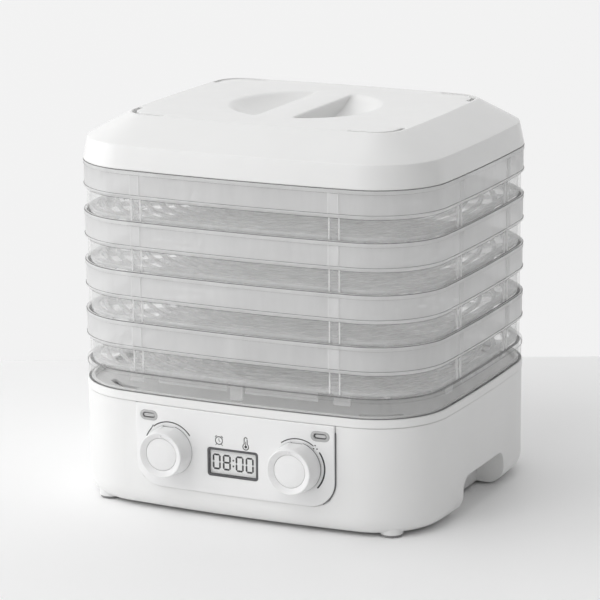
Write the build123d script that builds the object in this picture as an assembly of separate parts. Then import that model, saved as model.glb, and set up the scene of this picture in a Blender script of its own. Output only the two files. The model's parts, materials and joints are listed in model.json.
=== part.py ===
"""Food dehydrator: a fan-heater base with a dial control panel, a clear spacer ring,
four stacking trays with ring-grid floors, and a vented lid. Millimetres, +Z up,
front towards -Y, origin at the middle of the resting footprint on the floor."""

import os
from math import hypot, sqrt

from build123d import *

# ------------------------------------------------------------------ driving dimensions
HALF_W = 140.0  # half width of the stack
HALF_D = 121.08  # half depth of the stack
CORNER_R = 53.3  # plan corner radius
SAG_FRONT = 7.95  # bow of the front and back faces over the half width
SAG_SIDE = 4.76  # bow of the side faces over the half depth

FOOT_H = 2.0  # underside of the base above the floor
BASE_LINE = 80.0  # parting line between base housing and deck
DECK_RIM_TOP = 86.0
RING_TOP = 101.1  # rim of the spacer ring
TRAY_PITCH = 36.15
TRAY_WIDE_H = 19.3  # height of the wide upper band of a tray
RIM_STEP = 1.5  # depth of the seat inside each rim
LID_SHOULDER_Z = 262.1
LID_SHOULDER_IN = 3.53
LID_TOP_Z = 278.5
LID_TOP_IN = 33.9
LID_WALL = 2.2

WALL = 2.6  # base housing wall
BASE_IN = 0.3  # base housing sits this far inside the tray outline
BOTTOM_ROUND = 13.0

PANEL_HALF_W = 77.0
PANEL_Z0 = 20.5
PANEL_R = 19.0
PANEL_PROUD = 1.4
PANEL_BACK = -1.8
KNOB_X = 49.7
KNOB_Z = 48.3
KNOB_H = 15.4  # knob face above the panel surface
KNOB_R0 = 17.9
KNOB_R1 = 16.6
SHAFT_R = 3.0
DISPLAY_W, DISPLAY_H, DISPLAY_Z = 39.4, 20.8, 44.2
PILL_X, PILL_Z = 66.5, 71.6
BUTTON_TRAVEL = 0.8

ALCOVE_HALF = 38.0  # hand recess half width
ALCOVE_TOP = 28.0
ALCOVE_X = 118.0  # inner face of the hand recess

GRIP_R = 54.0
GRIP_DEPTH = 15.0
GRIP_BAR_HALF = 14.0

HUB_R = 17.0
RING_PITCH = 10.0
RING_W = 3.2
RIB_W = 2.6
# directions of the floor ribs, measured from the front centre line; they end about
# 38 mm apart on the wall
RIB_ANGLES = [0.0, 19.5, 34.0, 47.0, 61.0, 75.5, 90.0]

FAN_R = 54.0
DUCT_R = 58.0
GLAND_X, GLAND_Z, GLAND_R = 60.0, 40.0, 3.6

# ------------------------------------------------------------------ plan outline
R_F = (HALF_W**2 + SAG_FRONT**2) / (2 * SAG_FRONT)
R_S = (HALF_D**2 + SAG_SIDE**2) / (2 * SAG_SIDE)
CY_F = -HALF_D + R_F  # centre of the front arc
CX_S = HALF_W - R_S  # centre of the right side arc


def corner_centre():
    """Centre of the front right corner arc, tangent inside both face arcs."""
    r1, r2 = R_F - CORNER_R, R_S - CORNER_R
    dx, dy = CX_S, -CY_F
    d = hypot(dx, dy)
    t = (r1 * r1 - r2 * r2 + d * d) / (2 * d)
    h = sqrt(r1 * r1 - t * t)
    ux, uy = dx / d, dy / d
    px, py = t * ux, CY_F + t * uy
    both = [(px - h * uy, py + h * ux), (px + h * uy, py - h * ux)]
    return next(c for c in both if c[0] > 0 and c[1] < 0)


CC = corner_centre()
D1 = ((CC[0]) / hypot(CC[0], CC[1] - CY_F), (CC[1] - CY_F) / hypot(CC[0], CC[1] - CY_F))
D2 = (
    (CC[0] - CX_S) / hypot(CC[0] - CX_S, CC[1]),
    (CC[1]) / hypot(CC[0] - CX_S, CC[1]),
)
DM = ((D1[0] + D2[0]) / hypot(D1[0] + D2[0], D1[1] + D2[1]), (D1[1] + D2[1]) / hypot(D1[0] + D2[0], D1[1] + D2[1]))


def outline(u=0.0, z=0.0):
    """Plan outline of the stack moved inwards by u, as a face at height z."""
    r = CORNER_R - u
    p1 = (CC[0] + D1[0] * r, CC[1] + D1[1] * r)
    pm = (CC[0] + DM[0] * r, CC[1] + DM[1] * r)
    p2 = (CC[0] + D2[0] * r, CC[1] + D2[1] * r)
    f = (0, -(HALF_D - u))
    s = (HALF_W - u, 0)
    fx = lambda p: (-p[0], p[1])
    fy = lambda p: (p[0], -p[1])
    fxy = lambda p: (-p[0], -p[1])
    runs = [
        (fx(p1), f, p1),
        (p1, pm, p2),
        (p2, s, fy(p2)),
        (fy(p2), fy(pm), fy(p1)),
        (fy(p1), fy(f), fxy(p1)),
        (fxy(p1), fxy(pm), fxy(p2)),
        (fxy(p2), fx(s), fx(p2)),
        (fx(p2), fx(pm), fx(p1)),
    ]
    edges = [
        Edge.make_three_point_arc(*[Vector(q[0], q[1], z) for q in run]) for run in runs
    ]
    return Face(Wire(edges))


def prism(u, z0, z1):
    return extrude(outline(u, z0), amount=z1 - z0, dir=(0, 0, 1))


def slope(u0, z0, u1, z1):
    return Solid.make_loft([outline(u0, z0).outer_wire(), outline(u1, z1).outer_wire()], ruled=True)


def block(x0, x1, y0, y1, z0, z1):
    return Pos((x0 + x1) / 2, (y0 + y1) / 2, (z0 + z1) / 2) * Box(x1 - x0, y1 - y0, z1 - z0)


def post(x, y, r, z0, z1):
    return Pos(x, y, (z0 + z1) / 2) * Cylinder(r, z1 - z0)


def rod_y(x, z, r, y0, y1):
    return Pos(x, (y0 + y1) / 2, z) * Rot(90, 0, 0) * Cylinder(r, abs(y1 - y0))


def turned(points):
    """Solid of revolution about +Z of a closed (r, z) profile."""
    wire = Wire.make_polygon([Vector(r, 0, z) for r, z in points], close=True)
    return revolve(Face(wire), axis=Axis.Z)


def front_drum(off, z0=-5.0, z1=95.0):
    """Upright drum whose face is the front face of the stack moved outwards by off."""
    return Pos(0, CY_F, (z0 + z1) / 2) * Cylinder(R_F + off, z1 - z0)


def front_y(x, off=0.0):
    return CY_F - sqrt((R_F + off) ** 2 - x * x)


def pill_xz(x, z, w, h, y0, y1):
    """Pill shaped bar along Y."""
    pl = Plane(origin=(x, y0, z), x_dir=(1, 0, 0), z_dir=(0, 1, 0))
    return extrude(pl * SlotOverall(w, h), amount=y1 - y0)


def rect_xz(x, z, w, h, r, y0, y1):
    pl = Plane(origin=(x, y0, z), x_dir=(1, 0, 0), z_dir=(0, 1, 0))
    return extrude(pl * RectangleRounded(w, h, r), amount=y1 - y0)


# the whole object is centred fore and aft between the knob faces and the cord gland
KNOB_FACE_Y = front_y(KNOB_X, PANEL_PROUD) - KNOB_H
GLAND_OUT_Y = -front_y(GLAND_X, -BASE_IN) + 3.0
Y_SHIFT = -(KNOB_FACE_Y + GLAND_OUT_Y) / 2

made = {}


def save(name, shape):
    shape = Pos(0, Y_SHIFT, 0) * shape
    solids = shape.solids()
    out = solids[0] if len(solids) == 1 else Compound(children=list(solids))
    made[name] = out
    os.makedirs("parts", exist_ok=True)
    export_step(out, os.path.join("parts", name + ".step"))


# ------------------------------------------------------------------ lid
def lid():
    z0 = RING_TOP + 4 * TRAY_PITCH
    t = LID_WALL
    outer = slope(0, z0, LID_SHOULDER_IN, LID_SHOULDER_Z) + slope(
        LID_SHOULDER_IN, LID_SHOULDER_Z, LID_TOP_IN, LID_TOP_Z
    )
    inner = slope(t, z0 - 1, LID_SHOULDER_IN + t - 0.3, LID_SHOULDER_Z - t + 0.6) + slope(
        LID_SHOULDER_IN + t - 0.3, LID_SHOULDER_Z - t + 0.6, LID_TOP_IN + 0.6, LID_TOP_Z - t
    )
    rs = (GRIP_R**2 + GRIP_DEPTH**2) / (2 * GRIP_DEPTH)
    zc = LID_TOP_Z - GRIP_DEPTH + rs
    halves = block(GRIP_BAR_HALF, 80, -80, 80, 200, 290) + block(-80, -GRIP_BAR_HALF, -80, 80, 200, 290)
    halves_wall = block(GRIP_BAR_HALF - t, 80, -80, 80, 200, 290) + block(
        -80, -GRIP_BAR_HALF + t, -80, 80, 200, 290
    )
    bowl = (Pos(0, 0, zc) * Sphere(rs)) & halves
    bowl_wall = (Pos(0, 0, zc) * Sphere(rs + t)) & halves_wall
    body = outer - (inner - bowl_wall) - bowl
    # seat tongue that drops inside the rim of the top tray
    body = body + (prism(2.2, z0 - RIM_STEP, z0 + 2.0) - prism(4.4, z0 - RIM_STEP - 1, z0 + 3.0))
    # arc shaped steam vents inside the four corners of the flat top
    band = prism(LID_TOP_IN + 1.5, LID_TOP_Z - 6, LID_TOP_Z + 2) - prism(
        LID_TOP_IN + 4.9, LID_TOP_Z - 7, LID_TOP_Z + 3
    )
    for sx in (-1, 1):
        for sy in (-1, 1):
            x0, x1 = sorted((sx * 70.0, sx * 130.0))
            y0, y1 = sorted((sy * 57.0, sy * 120.0))
            body = body - (band & block(x0, x1, y0, y1, 260, 290))
    # the flat top with its grip, and the sloped rim around it
    middle = prism(LID_TOP_IN + 1.1, LID_TOP_Z - 25, LID_TOP_Z + 2)
    return body - middle, body & middle


# ------------------------------------------------------------------ trays
def pilasters(u0, u1, z0, z1):
    """Flat upright strips on the wall between insets u0 and u1, and heights z0 and z1."""
    ring = prism(u0, z0, z1) - prism(u1, z0 - 1, z1 + 1)
    strips = None
    for s in (-1, 1):
        for q in (-1, 1):
            a = sorted((s * 72.0, s * 80.0))
            b = sorted((q * 90.0, q * 130.0))
            c = block(a[0], a[1], b[0], b[1], z0 - 1, z1 + 1)
            a = sorted((s * 40.0, s * 47.0))
            b = sorted((q * 110.0, q * 150.0))
            d = block(b[0], b[1], a[0], a[1], z0 - 1, z1 + 1)
            strips = c + d if strips is None else strips + c + d
    return ring & strips


def rim_inside(top):
    """The hollow of a rim: lip, seat and the ledge below it."""
    return (
        prism(1.8, top - RIM_STEP, top + 1)
        + prism(4.8, top - 4.5, top - RIM_STEP)
    )


def tray(top):
    """The wall with its frame and skirt, and the ring grid that fills the frame."""
    bottom = top - TRAY_PITCH - RIM_STEP
    wide = top - TRAY_WIDE_H
    outer = (
        prism(2.2, bottom, wide - 1.4)
        + slope(2.2, wide - 1.4, 0.0, wide + 0.6)
        + prism(0.0, wide + 0.6, wide + 1.8)
        + prism(0.5, wide + 1.8, top - 3.2)
        + prism(0.0, top - 3.2, top)
    )
    inner = (
        prism(4.2, bottom - 1, wide + 0.2)
        + prism(2.2, wide + 0.2, top - 4.5)
        + rim_inside(top)
    )
    wall = outer - inner
    wall = wall + pilasters(0.0, 1.5, wide + 1.2, top - 3.0)
    wall = wall + pilasters(1.8, 3.5, bottom + RIM_STEP + 0.5, wide - 0.6)
    # ring grid floor: rings above, ribs below, both ending in a flat frame
    f0, f1, r0 = bottom + 1.6, bottom + 4.0, bottom - 1.4
    frame = prism(3.8, f0, f1) - prism(9.5, f0 - 1, f1 + 1)
    rings = Sketch() + Circle(HUB_R)
    k = 0
    while HUB_R + RING_PITCH * (k + 1) < 172:
        r = HUB_R + RING_PITCH * (k + 1)
        rings = rings + (Circle(r) - Circle(r - RING_W))
        k += 1
    rings = Pos(0, 0, f0) * rings
    rings = extrude(rings, amount=f1 - f0, dir=(0, 0, 1)) & prism(9.5, f0, f1)
    angles = sorted({a for b in RIB_ANGLES for a in (b, -b, 180 - b, b - 180)})
    angles = [a for a in angles if a > -180 + 1e-6]
    hub = extrude(Pos(0, 0, r0) * RegularPolygon(HUB_R, 40), amount=f0 - r0, dir=(0, 0, 1))
    spokes = [
        Rot(0, 0, a - 90) * block(HUB_R - 1.5, 180, -RIB_W / 2, RIB_W / 2, r0, f0)
        for a in angles
    ]
    ribs = hub.fuse(*spokes) & prism(8.0, r0, f0)
    # hanging skirt that finds the inside of the rim below, in runs with gaps
    band = prism(5.4, bottom - 11.3, f0) - prism(7.0, bottom - 12, f0 + 1)
    low = [(-4.7, 4.7, -11.3)]
    mid = [(-62, -7, -5.5), (7, 62, -5.5), (-86, -74, -6.5), (74, 86, -6.5)]
    skirt = None
    for x0, x1, dz in low + mid:
        for s in (-1, 1):
            y0, y1 = sorted((s * 90.0, s * 130.0))
            b = band & block(x0, x1, y0, y1, bottom + dz, f0 + 0.5)
            skirt = b if skirt is None else skirt + b
    for y0, y1, dz in [(-56, -46, -6.5), (46, 56, -6.5), (-28, 28, -5.5)]:
        for s in (-1, 1):
            x0, x1 = sorted((s * 120.0, s * 150.0))
            skirt = skirt + (band & block(x0, x1, y0, y1, bottom + dz, f0 + 0.5))
    return wall + frame + skirt, rings + ribs


# ------------------------------------------------------------------ spacer ring
def spacer_ring():
    top, z0 = RING_TOP, DECK_RIM_TOP
    outer = prism(0.7, z0, top - 3.2) + prism(0.0, top - 3.2, top)
    inner = prism(2.7, z0 - 1, top - 4.5) + rim_inside(top)
    return outer - inner


# ------------------------------------------------------------------ base
def alcove(grow=0.0, x_in=ALCOVE_X, x_out=160.0, side=1):
    h = ALCOVE_HALF + grow
    top = ALCOVE_TOP + grow
    pl = Plane(origin=(x_in - grow, 0, 0), x_dir=(0, 1, 0), z_dir=(1, 0, 0))
    sk = pl * (Pos(0, top / 2 - 10) * Rectangle(2 * h, top + 20))
    body = extrude(sk, amount=x_out - x_in + grow)
    edges = [e for e in body.edges().filter_by(Axis.X) if e.center().Z > top - 0.1]
    body = fillet(edges, 10 + grow)
    return body if side > 0 else mirror(body, about=Plane.YZ)


def panel_profile(grow=0.0, y0=-150.0, y1=-90.0, z_top=BASE_LINE - 0.3):
    """Rounded fascia outline as a bar along Y: square top corners, round bottom corners."""
    w, z0 = PANEL_HALF_W + grow, PANEL_Z0 - grow
    body = block(-w, w, y0, y1, z0, z_top)
    edges = [e for e in body.edges().filter_by(Axis.Y) if e.center().Z < z0 + 0.1]
    return fillet(edges, PANEL_R + grow)


FOOT_C = (CC[0] + 42 * 0.6, CC[1] - 42 * 0.8)
POSTS = [(sx * 98.0, sy * 78.0) for sx in (-1, 1) for sy in (-1, 1)]


def base_housing():
    u = BASE_IN
    top = BASE_LINE - 0.3
    outer = prism(u, FOOT_H, top)
    outer = fillet(outer.faces().sort_by(Axis.Z)[0].edges(), BOTTOM_ROUND)
    hollow = prism(u + WALL, FOOT_H + WALL, top + 1)
    hollow = fillet(hollow.faces().sort_by(Axis.Z)[0].edges(), BOTTOM_ROUND - WALL)
    for s in (1, -1):
        outer = outer - alcove(0, side=s)
        hollow = hollow - alcove(WALL, side=s)
    for x, y in [(sx * FOOT_C[0], sy * FOOT_C[1]) for sx in (-1, 1) for sy in (-1, 1)]:
        outer = outer + post(x, y, 8.2, FOOT_H, 7.0)
        hollow = hollow - post(x, y, 8.2, FOOT_H, 9.0)
    body = outer - hollow
    # opening for the bottom cover
    mouth = prism(22.0, FOOT_H - 1, FOOT_H + WALL + 1) - alcove(WALL, side=1) - alcove(WALL, side=-1)
    body = body - mouth
    # pocket and window behind the fascia
    body = body - (panel_profile(0.4, z_top=BASE_LINE + 5) - front_drum(PANEL_BACK))
    body = body - rect_xz(0, 50.1, 148.4, 52.2, 6.0, -125, -100)
    # cord gland hole in the back wall
    body = body - rod_y(GLAND_X, GLAND_Z, 6.1, 100, 140)
    # pockets for the pegs of the feet
    for x, y in [(sx * FOOT_C[0], sy * FOOT_C[1]) for sx in (-1, 1) for sy in (-1, 1)]:
        body = body - post(x, y, 2.6, FOOT_H - 1, FOOT_H + 4.2)
    return body


def base_deck():
    rim = prism(0.0, BASE_LINE, DECK_RIM_TOP)
    rim = chamfer(rim.faces().sort_by(Axis.Z)[-1].edges(), 0.7)
    rim = rim - prism(5.6, BASE_LINE - 1, DECK_RIM_TOP + 1)
    lip = prism(3.4, DECK_RIM_TOP - 1, 87.4) - prism(4.9, DECK_RIM_TOP - 2, 90)
    skirt = prism(3.4, 73.0, 81.0) - prism(5.4, 72, 82)
    # skirt gap for the fascia
    return rim + lip + (skirt - block(-74.2, 74.2, -130, -100, 70, BASE_LINE - 0.3))


def deck_plate():
    body = prism(5.6, 81.5, 83.6)
    for x, y in POSTS:
        body = body + post(x, y, 4.6, 7.0, 82.0)
    for x, y in POSTS:
        body = body - post(x, y, 1.5, 6.0, 20.0)
    # hot air grille: arcs in the middle, and a slot near each corner
    grille = None
    for r in (14, 24, 34, 44, 54):
        c = Pos(0, 0, 80) * (Circle(r) - Circle(r - 6.4))
        c = extrude(c, amount=6, dir=(0, 0, 1))
        grille = c if grille is None else grille + c
    bars = None
    for k in range(3):
        b = Rot(0, 0, 60 * k + 30) * block(-60, 60, -2.0, 2.0, 79, 88)
        bars = b if bars is None else bars + b
    body = body - (grille - bars)
    band = prism(16.0, 79, 88) - prism(21.0, 78, 89)
    for sx in (-1, 1):
        for sy in (-1, 1):
            x0, x1 = sorted((sx * 86.0, sx * 114.0))
            y0, y1 = sorted((sy * 84.0, sy * 118.0))
            body = body - (band & block(x0, x1, y0, y1, 79, 88))
    return body


def bottom_cover():
    pad = prism(22.5, 2.5, 4.7)
    flange = prism(16.5, 4.7, 7.0)
    body = pad + flange
    for s in (1, -1):
        body = body - alcove(WALL + 0.5, side=s)
    # parallel intake slots inside a circle
    disc = post(0, 0, 50.0, 2, 8)
    slots = None
    for k in range(-5, 6):
        b = block(-60, 60, k * 9.0 - 2.6, k * 9.0 + 2.6, 1, 9)
        slots = b if slots is None else slots + b
    keep = block(-2, 2, -60, 60, 0, 10)
    body = body - ((slots & disc) - keep)
    for x, y in POSTS:
        body = body - post(x, y, 3.6, 1, 4.4) - post(x, y, 1.7, 1, 9)
    for sx in (-1, 1):
        for sy in (-1, 1):
            body = body - post(sx * FOOT_C[0], sy * FOOT_C[1], 8.7, 1, 9)
    for x in (-58.0, 58.0):
        for y in (77.0, 99.0):
            body = body + (post(x, y, 3.0, 6.5, 20.0) - post(x, y, 1.15, 12.0, 21.0))
    return body


# ------------------------------------------------------------------ front panel pieces
def control_panel():
    body = panel_profile() & (front_drum(PANEL_PROUD) - front_drum(PANEL_BACK))
    # flat seats for the knobs and holes for their bushings
    for s in (-1, 1):
        y = front_y(KNOB_X, PANEL_PROUD)
        body = body - rod_y(s * KNOB_X, KNOB_Z, 18.8, y - 5, y + 0.9)
        body = body - rod_y(s * KNOB_X, KNOB_Z, 3.8, -130, -100)
        body = body - pill_xz(s * PILL_X, PILL_Z, 14.1, 7.3, -130, -100)
    # display frame seat and window
    yd = front_y(0, PANEL_PROUD)
    body = body - rect_xz(0, DISPLAY_Z, DISPLAY_W, DISPLAY_H, 2.2, yd - 2, yd + 1.2)
    body = body - rect_xz(0, DISPLAY_Z, DISPLAY_W - 4, DISPLAY_H - 4, 1.2, -130, -100)
    # posts for the control board
    for x, z in BOARD_POSTS:
        body = body + (rod_y(x, z, 3.0, front_y(x, PANEL_BACK) - 0.5, BOARD_Y) - rod_y(x, z, 1.1, BOARD_Y - 6, BOARD_Y + 1))
    return body


BOARD_Y = -107.0
BOARD_T = 1.6
BOARD_POSTS = [(-68.0, 57.0), (68.0, 57.0), (-27.0, 28.5), (27.0, 28.5)]


def display_bezel():
    y = front_y(0, PANEL_PROUD)
    return rect_xz(0, DISPLAY_Z, DISPLAY_W - 0.2, DISPLAY_H - 0.2, 2.1, y - 0.15, y + 1.2) - rect_xz(
        0, DISPLAY_Z, DISPLAY_W - 3.2, DISPLAY_H - 3.2, 1.2, y - 3, y + 3
    )


def display_lens():
    y = front_y(0, PANEL_PROUD)
    return rect_xz(0, DISPLAY_Z, DISPLAY_W - 3.3, DISPLAY_H - 3.3, 1.15, y + 0.1, y + 1.2)


def lcd_panel():
    y = front_y(0, PANEL_PROUD)
    return rect_xz(0, DISPLAY_Z, 34.4, 15.8, 0.6, y + 1.7, y + 3.6)


def lcd_holder():
    y = front_y(0, PANEL_PROUD)
    body = rect_xz(0, DISPLAY_Z, 40.0, 22.0, 1.0, y + 4.4, BOARD_Y)
    body = body + rect_xz(0, DISPLAY_Z, 34.6, 16.0, 0.6, y + 3.6, y + 4.5)
    return body - rect_xz(0, DISPLAY_Z, 36.0, 18.0, 1.0, y + 7.0, BOARD_Y + 1)


def pill_bezel(s):
    body = pill_xz(s * PILL_X, PILL_Z, 14.0, 7.2, -130, -100) & (
        front_drum(PANEL_PROUD + 0.25) - front_drum(PANEL_BACK)
    )
    return body - pill_xz(s * PILL_X, PILL_Z, 9.8, 3.9, -130, -100)


def push_button(s):
    y = front_y(PILL_X, PANEL_PROUD)
    body = pill_xz(s * PILL_X, PILL_Z, 9.2, 3.3, y + 0.7, -116.0)
    body = body + pill_xz(s * PILL_X, PILL_Z, 12.0, 6.0, -116.7, -115.7)
    return body + rod_y(s * PILL_X, PILL_Z, 1.6, -116.0, BOARD_Y - 4.4)


def tact_switches():
    out = None
    for s in (-1, 1):
        b = block(s * PILL_X - 3, s * PILL_X + 3, BOARD_Y - 2.6, BOARD_Y, PILL_Z - 3, PILL_Z + 3)
        b = b + rod_y(s * PILL_X, PILL_Z, 1.7, BOARD_Y - 3.5, BOARD_Y - 2.5)
        out = b if out is None else out + b
    return out


def control_board():
    body = block(-72.5, 72.5, BOARD_Y, BOARD_Y + BOARD_T, 24.5, 76.0)
    for x, z in BOARD_POSTS:
        body = body - rod_y(x, z, 1.4, -120, -90)
    body = body + block(-9, 9, BOARD_Y + BOARD_T, BOARD_Y + BOARD_T + 2.2, 40, 58)
    body = body + block(24, 44, BOARD_Y + BOARD_T, BOARD_Y + BOARD_T + 6.0, 60, 67)
    body = body + rod_y(-40, 62, 4.0, BOARD_Y + BOARD_T, BOARD_Y + BOARD_T + 9.0)
    return body


def potentiometer(s):
    body = block(s * KNOB_X - 6, s * KNOB_X + 6, BOARD_Y - 6.6, BOARD_Y, KNOB_Z - 6, KNOB_Z + 6)
    body = body + rod_y(s * KNOB_X, KNOB_Z, 3.5, -119.6, BOARD_Y - 6.0)
    return body - rod_y(s * KNOB_X, KNOB_Z, SHAFT_R + 0.06, -125, BOARD_Y - 2.0)


def knob_shaft(s):
    y = front_y(KNOB_X, PANEL_PROUD)
    body = rod_y(s * KNOB_X, KNOB_Z, SHAFT_R, y - 10.3, BOARD_Y - 2.2)
    flat = block(s * KNOB_X - 4, s * KNOB_X + 4, y - 12, y - 0.4, KNOB_Z + 2.4, KNOB_Z + 4)
    return body - flat


def knob(s):
    body = turned(
        [
            (0.0, 11.9),
            (11.9, 11.9),
            (11.9, 13.3),
            (12.2, 13.5),
            (15.4, 15.2),
            (16.0, KNOB_H),
            (16.45, 15.0),
            (KNOB_R1, 14.5),
            (KNOB_R0, 0.2),
            (KNOB_R0 - 0.3, -0.3),
            (16.2, -0.3),
            (15.0, 10.4),
            (5.2, 10.4),
            (5.2, 0.8),
            (0.0, 0.8),
        ]
    )
    # pointer flat on the top of the skirt, and its notch on the face ring
    body = body - Pos(0, 17.05 + 5, 7.5) * Box(9.0, 10.0, 30.0)
    body = body - Pos(0, 15.2, KNOB_H) * Box(1.1, 2.2, 1.2)
    bore = Cylinder(SHAFT_R + 0.03, 9.7) - Pos(0, 2.43 + 3, 0) * Box(10, 6, 20)
    body = body - Pos(0, 0, 0.7 + 9.7 / 2) * bore
    y = front_y(KNOB_X, PANEL_PROUD)
    return Pos(s * KNOB_X, y, KNOB_Z) * Rot(90, 0, 0) * body


def knob_cap(s):
    body = turned([(0, 11.9), (11.7, 11.9), (11.7, 13.1), (11.3, 13.5), (6.0, 13.85), (0, 13.95)])
    y = front_y(KNOB_X, PANEL_PROUD)
    return Pos(s * KNOB_X, y, KNOB_Z) * Rot(90, 0, 0) * body


# ------------------------------------------------------------------ air system
def intake_filter():
    return post(0, 0, 53.0, 7.0, 7.9)


def motor_bracket():
    body = block(-74, 74, -10, 10, 12.0, 14.0)
    for s in (-1, 1):
        x0, x1 = sorted((s * 72.0, s * 74.0))
        body = body + block(x0, x1, -10, 10, 7.0, 14.0)
        x0, x1 = sorted((s * 72.0, s * 84.0))
        body = body + block(x0, x1, -10, 10, 7.0, 8.6)
        body = body - post(s * 79.0, 0, 1.7, 6, 10)
        body = body - post(s * 14.0, 0, 1.4, 10, 16)
    return body


def fan_motor():
    body = turned([(0, 14), (20, 14), (21, 15), (21, 35), (19, 38), (8, 38), (8, 40.5), (0, 40.5)])
    body = body - post(0, 0, 1.56, 34.0, 42.0)
    for s in (-1, 1):
        body = body - post(s * 14.0, 0, 1.1, 13, 19)
    return body


def motor_shaft():
    return post(0, 0, 1.5, 34.2, 62.5)


def fan_impeller():
    hub = turned([(1.52, 43.0), (10.5, 43.0), (11.5, 44.0), (11.5, 57.0), (10.0, 59.0), (1.52, 59.0)])
    body = hub
    for k in range(7):
        blade = Pos(31.5, 0, 0) * Rot(52, 0, 0) * Box(44.0, 1.6, 18.0)
        body = body + Rot(0, 0, k * 360 / 7) * Pos(0, 0, 51.0) * blade
    return body & (post(0, 0, FAN_R, 30, 70) - post(0, 0, 1.52, 30, 70))


def fan_nut():
    pl = Plane(origin=(0, 0, 59.0))
    body = extrude(pl * RegularPolygon(4.2, 6), amount=2.6)
    return body - post(0, 0, 1.52, 58, 63)


def air_duct():
    body = post(0, 0, DUCT_R + 2, 32.0, 81.5) - post(0, 0, DUCT_R, 31.0, 82.5)
    body = body + (post(0, 0, DUCT_R + 8, 79.3, 81.5) - post(0, 0, DUCT_R, 78, 83))
    # four feet that carry the duct down to the bottom cover
    for a in (45, 135, 225, 315):
        leg = Rot(0, 0, a) * block(DUCT_R + 0.5, DUCT_R + 5.5, -5, 5, 7.0, 36.0)
        body = body + leg
    return body


COIL_RADII = (20.0, 33.0, 46.0)


def heater_frame():
    body = block(-54, 54, -0.6, 0.6, 64.0, 77.5) + block(-0.6, 0.6, -54, 54, 64.0, 77.5)
    for r in COIL_RADII:
        for s in (-1, 1):
            body = body - rod_y(s * r, 70.0, 1.75, -3, 3)
            body = body - Pos(0, s * r, 70.0) * Rot(0, 90, 0) * Cylinder(1.75, 6)
    return body


def heater_coils():
    out = None
    for r in COIL_RADII:
        t = Pos(0, 0, 70.0) * Torus(r, 1.3)
        out = t if out is None else out + t
    return out


def heater_shield():
    body = post(0, 0, 40.0, 77.5, 78.3)
    for k in range(12):
        body = body - Rot(0, 0, 30 * k + 15) * post(30, 0, 4.0, 77, 79)
    for k in range(6):
        body = body - Rot(0, 0, 60 * k + 15) * post(16, 0, 3.5, 77, 79)
    return body


def heater_clips():
    """Four clips that hold the heater sheets to the duct wall."""
    out = None
    for a in (0, 90, 180, 270):
        b = block(51.0, DUCT_R, -3.4, 3.4, 66.0, 73.0) - block(50.0, 54.2, -0.65, 0.65, 65.0, 74.0)
        b = b & post(0, 0, DUCT_R, 60, 80)
        b = Rot(0, 0, a) * b
        out = b if out is None else out + b
    return out


def thermal_cutout():
    body = block(59.0, 67.0, -8, 8, 56.0, 65.0) - post(0, 0, DUCT_R + 2, 50, 70)
    return body + block(66.0, 70.0, -2, 2, 58.5, 62.5)


def air_thermistor():
    return post(-35, 35, 2.0, 74.0, 81.5) + (Pos(-35, 35, 74.0) * Sphere(2.0))


def power_board():
    body = block(-66, 66, 71, 105, 20.0, 21.6)
    for x in (-58.0, 58.0):
        for y in (77.0, 99.0):
            body = body - post(x, y, 1.4, 19, 23)
    body = body + block(6, 26, 80, 96, 21.6, 36.0)
    body = body + post(38, 84, 6.0, 21.6, 42.0)
    body = body + block(30, 48, 94, 100, 21.6, 27.0)
    return body + block(-60, -52, 84, 92, 21.6, 30.0)


def power_transformer():
    body = block(-44, -10, 76, 102, 21.6, 24.0) + block(-42, -12, 78, 100, 24.0, 44.0)
    return body


def cord_gland():
    y_wall = -front_y(GLAND_X, -BASE_IN)
    profile = [
        (GLAND_R, -8.0),
        (7.6, -8.0),
        (7.6, -4.2),
        (6.0, -4.2),
        (6.0, 0.6),
        (8.4, 0.6),
        (8.4, 1.8),
        (7.0, 3.0),
        (GLAND_R, 3.0),
    ]
    body = turned(profile)
    return Pos(GLAND_X, y_wall, GLAND_Z) * Rot(-90, 0, 0) * body


def feet():
    out = None
    for sx in (-1, 1):
        for sy in (-1, 1):
            x, y = sx * FOOT_C[0], sy * FOOT_C[1]
            b = post(x, y, 7.4, 0.0, FOOT_H)
            b = chamfer(b.faces().sort_by(Axis.Z)[0].edges(), 0.5)
            b = b + post(x, y, 2.5, FOOT_H - 0.5, FOOT_H + 4.0)
            out = b if out is None else out + b
    return out


def base_screws():
    out = None
    for x, y in POSTS:
        b = post(x, y, 3.2, 2.6, 4.4) + post(x, y, 1.45, 4.0, 18.0)
        b = b - block(x - 2.2, x + 2.2, y - 0.4, y + 0.4, 2.0, 3.4) - block(x - 0.4, x + 0.4, y - 2.2, y + 2.2, 2.0, 3.4)
        out = b if out is None else out + b
    return out


def board_screws():
    out = None
    for x, z in BOARD_POSTS:
        b = rod_y(x, z, 2.4, BOARD_Y + BOARD_T, BOARD_Y + BOARD_T + 1.6) + rod_y(
            x, z, 1.05, BOARD_Y - 5.5, BOARD_Y + BOARD_T + 0.5
        )
        out = b if out is None else out + b
    return out


def power_board_screws():
    out = None
    for x in (-58.0, 58.0):
        for y in (77.0, 99.0):
            b = post(x, y, 2.4, 21.6, 23.2) + post(x, y, 1.1, 13.0, 22.0)
            out = b if out is None else out + b
    return out


def motor_screws():
    out = None
    for s in (-1, 1):
        b = post(s * 14.0, 0, 2.3, 10.6, 12.0) + post(s * 14.0, 0, 1.05, 11.5, 18.0)
        out = b if out is None else out + b
    return out


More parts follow.
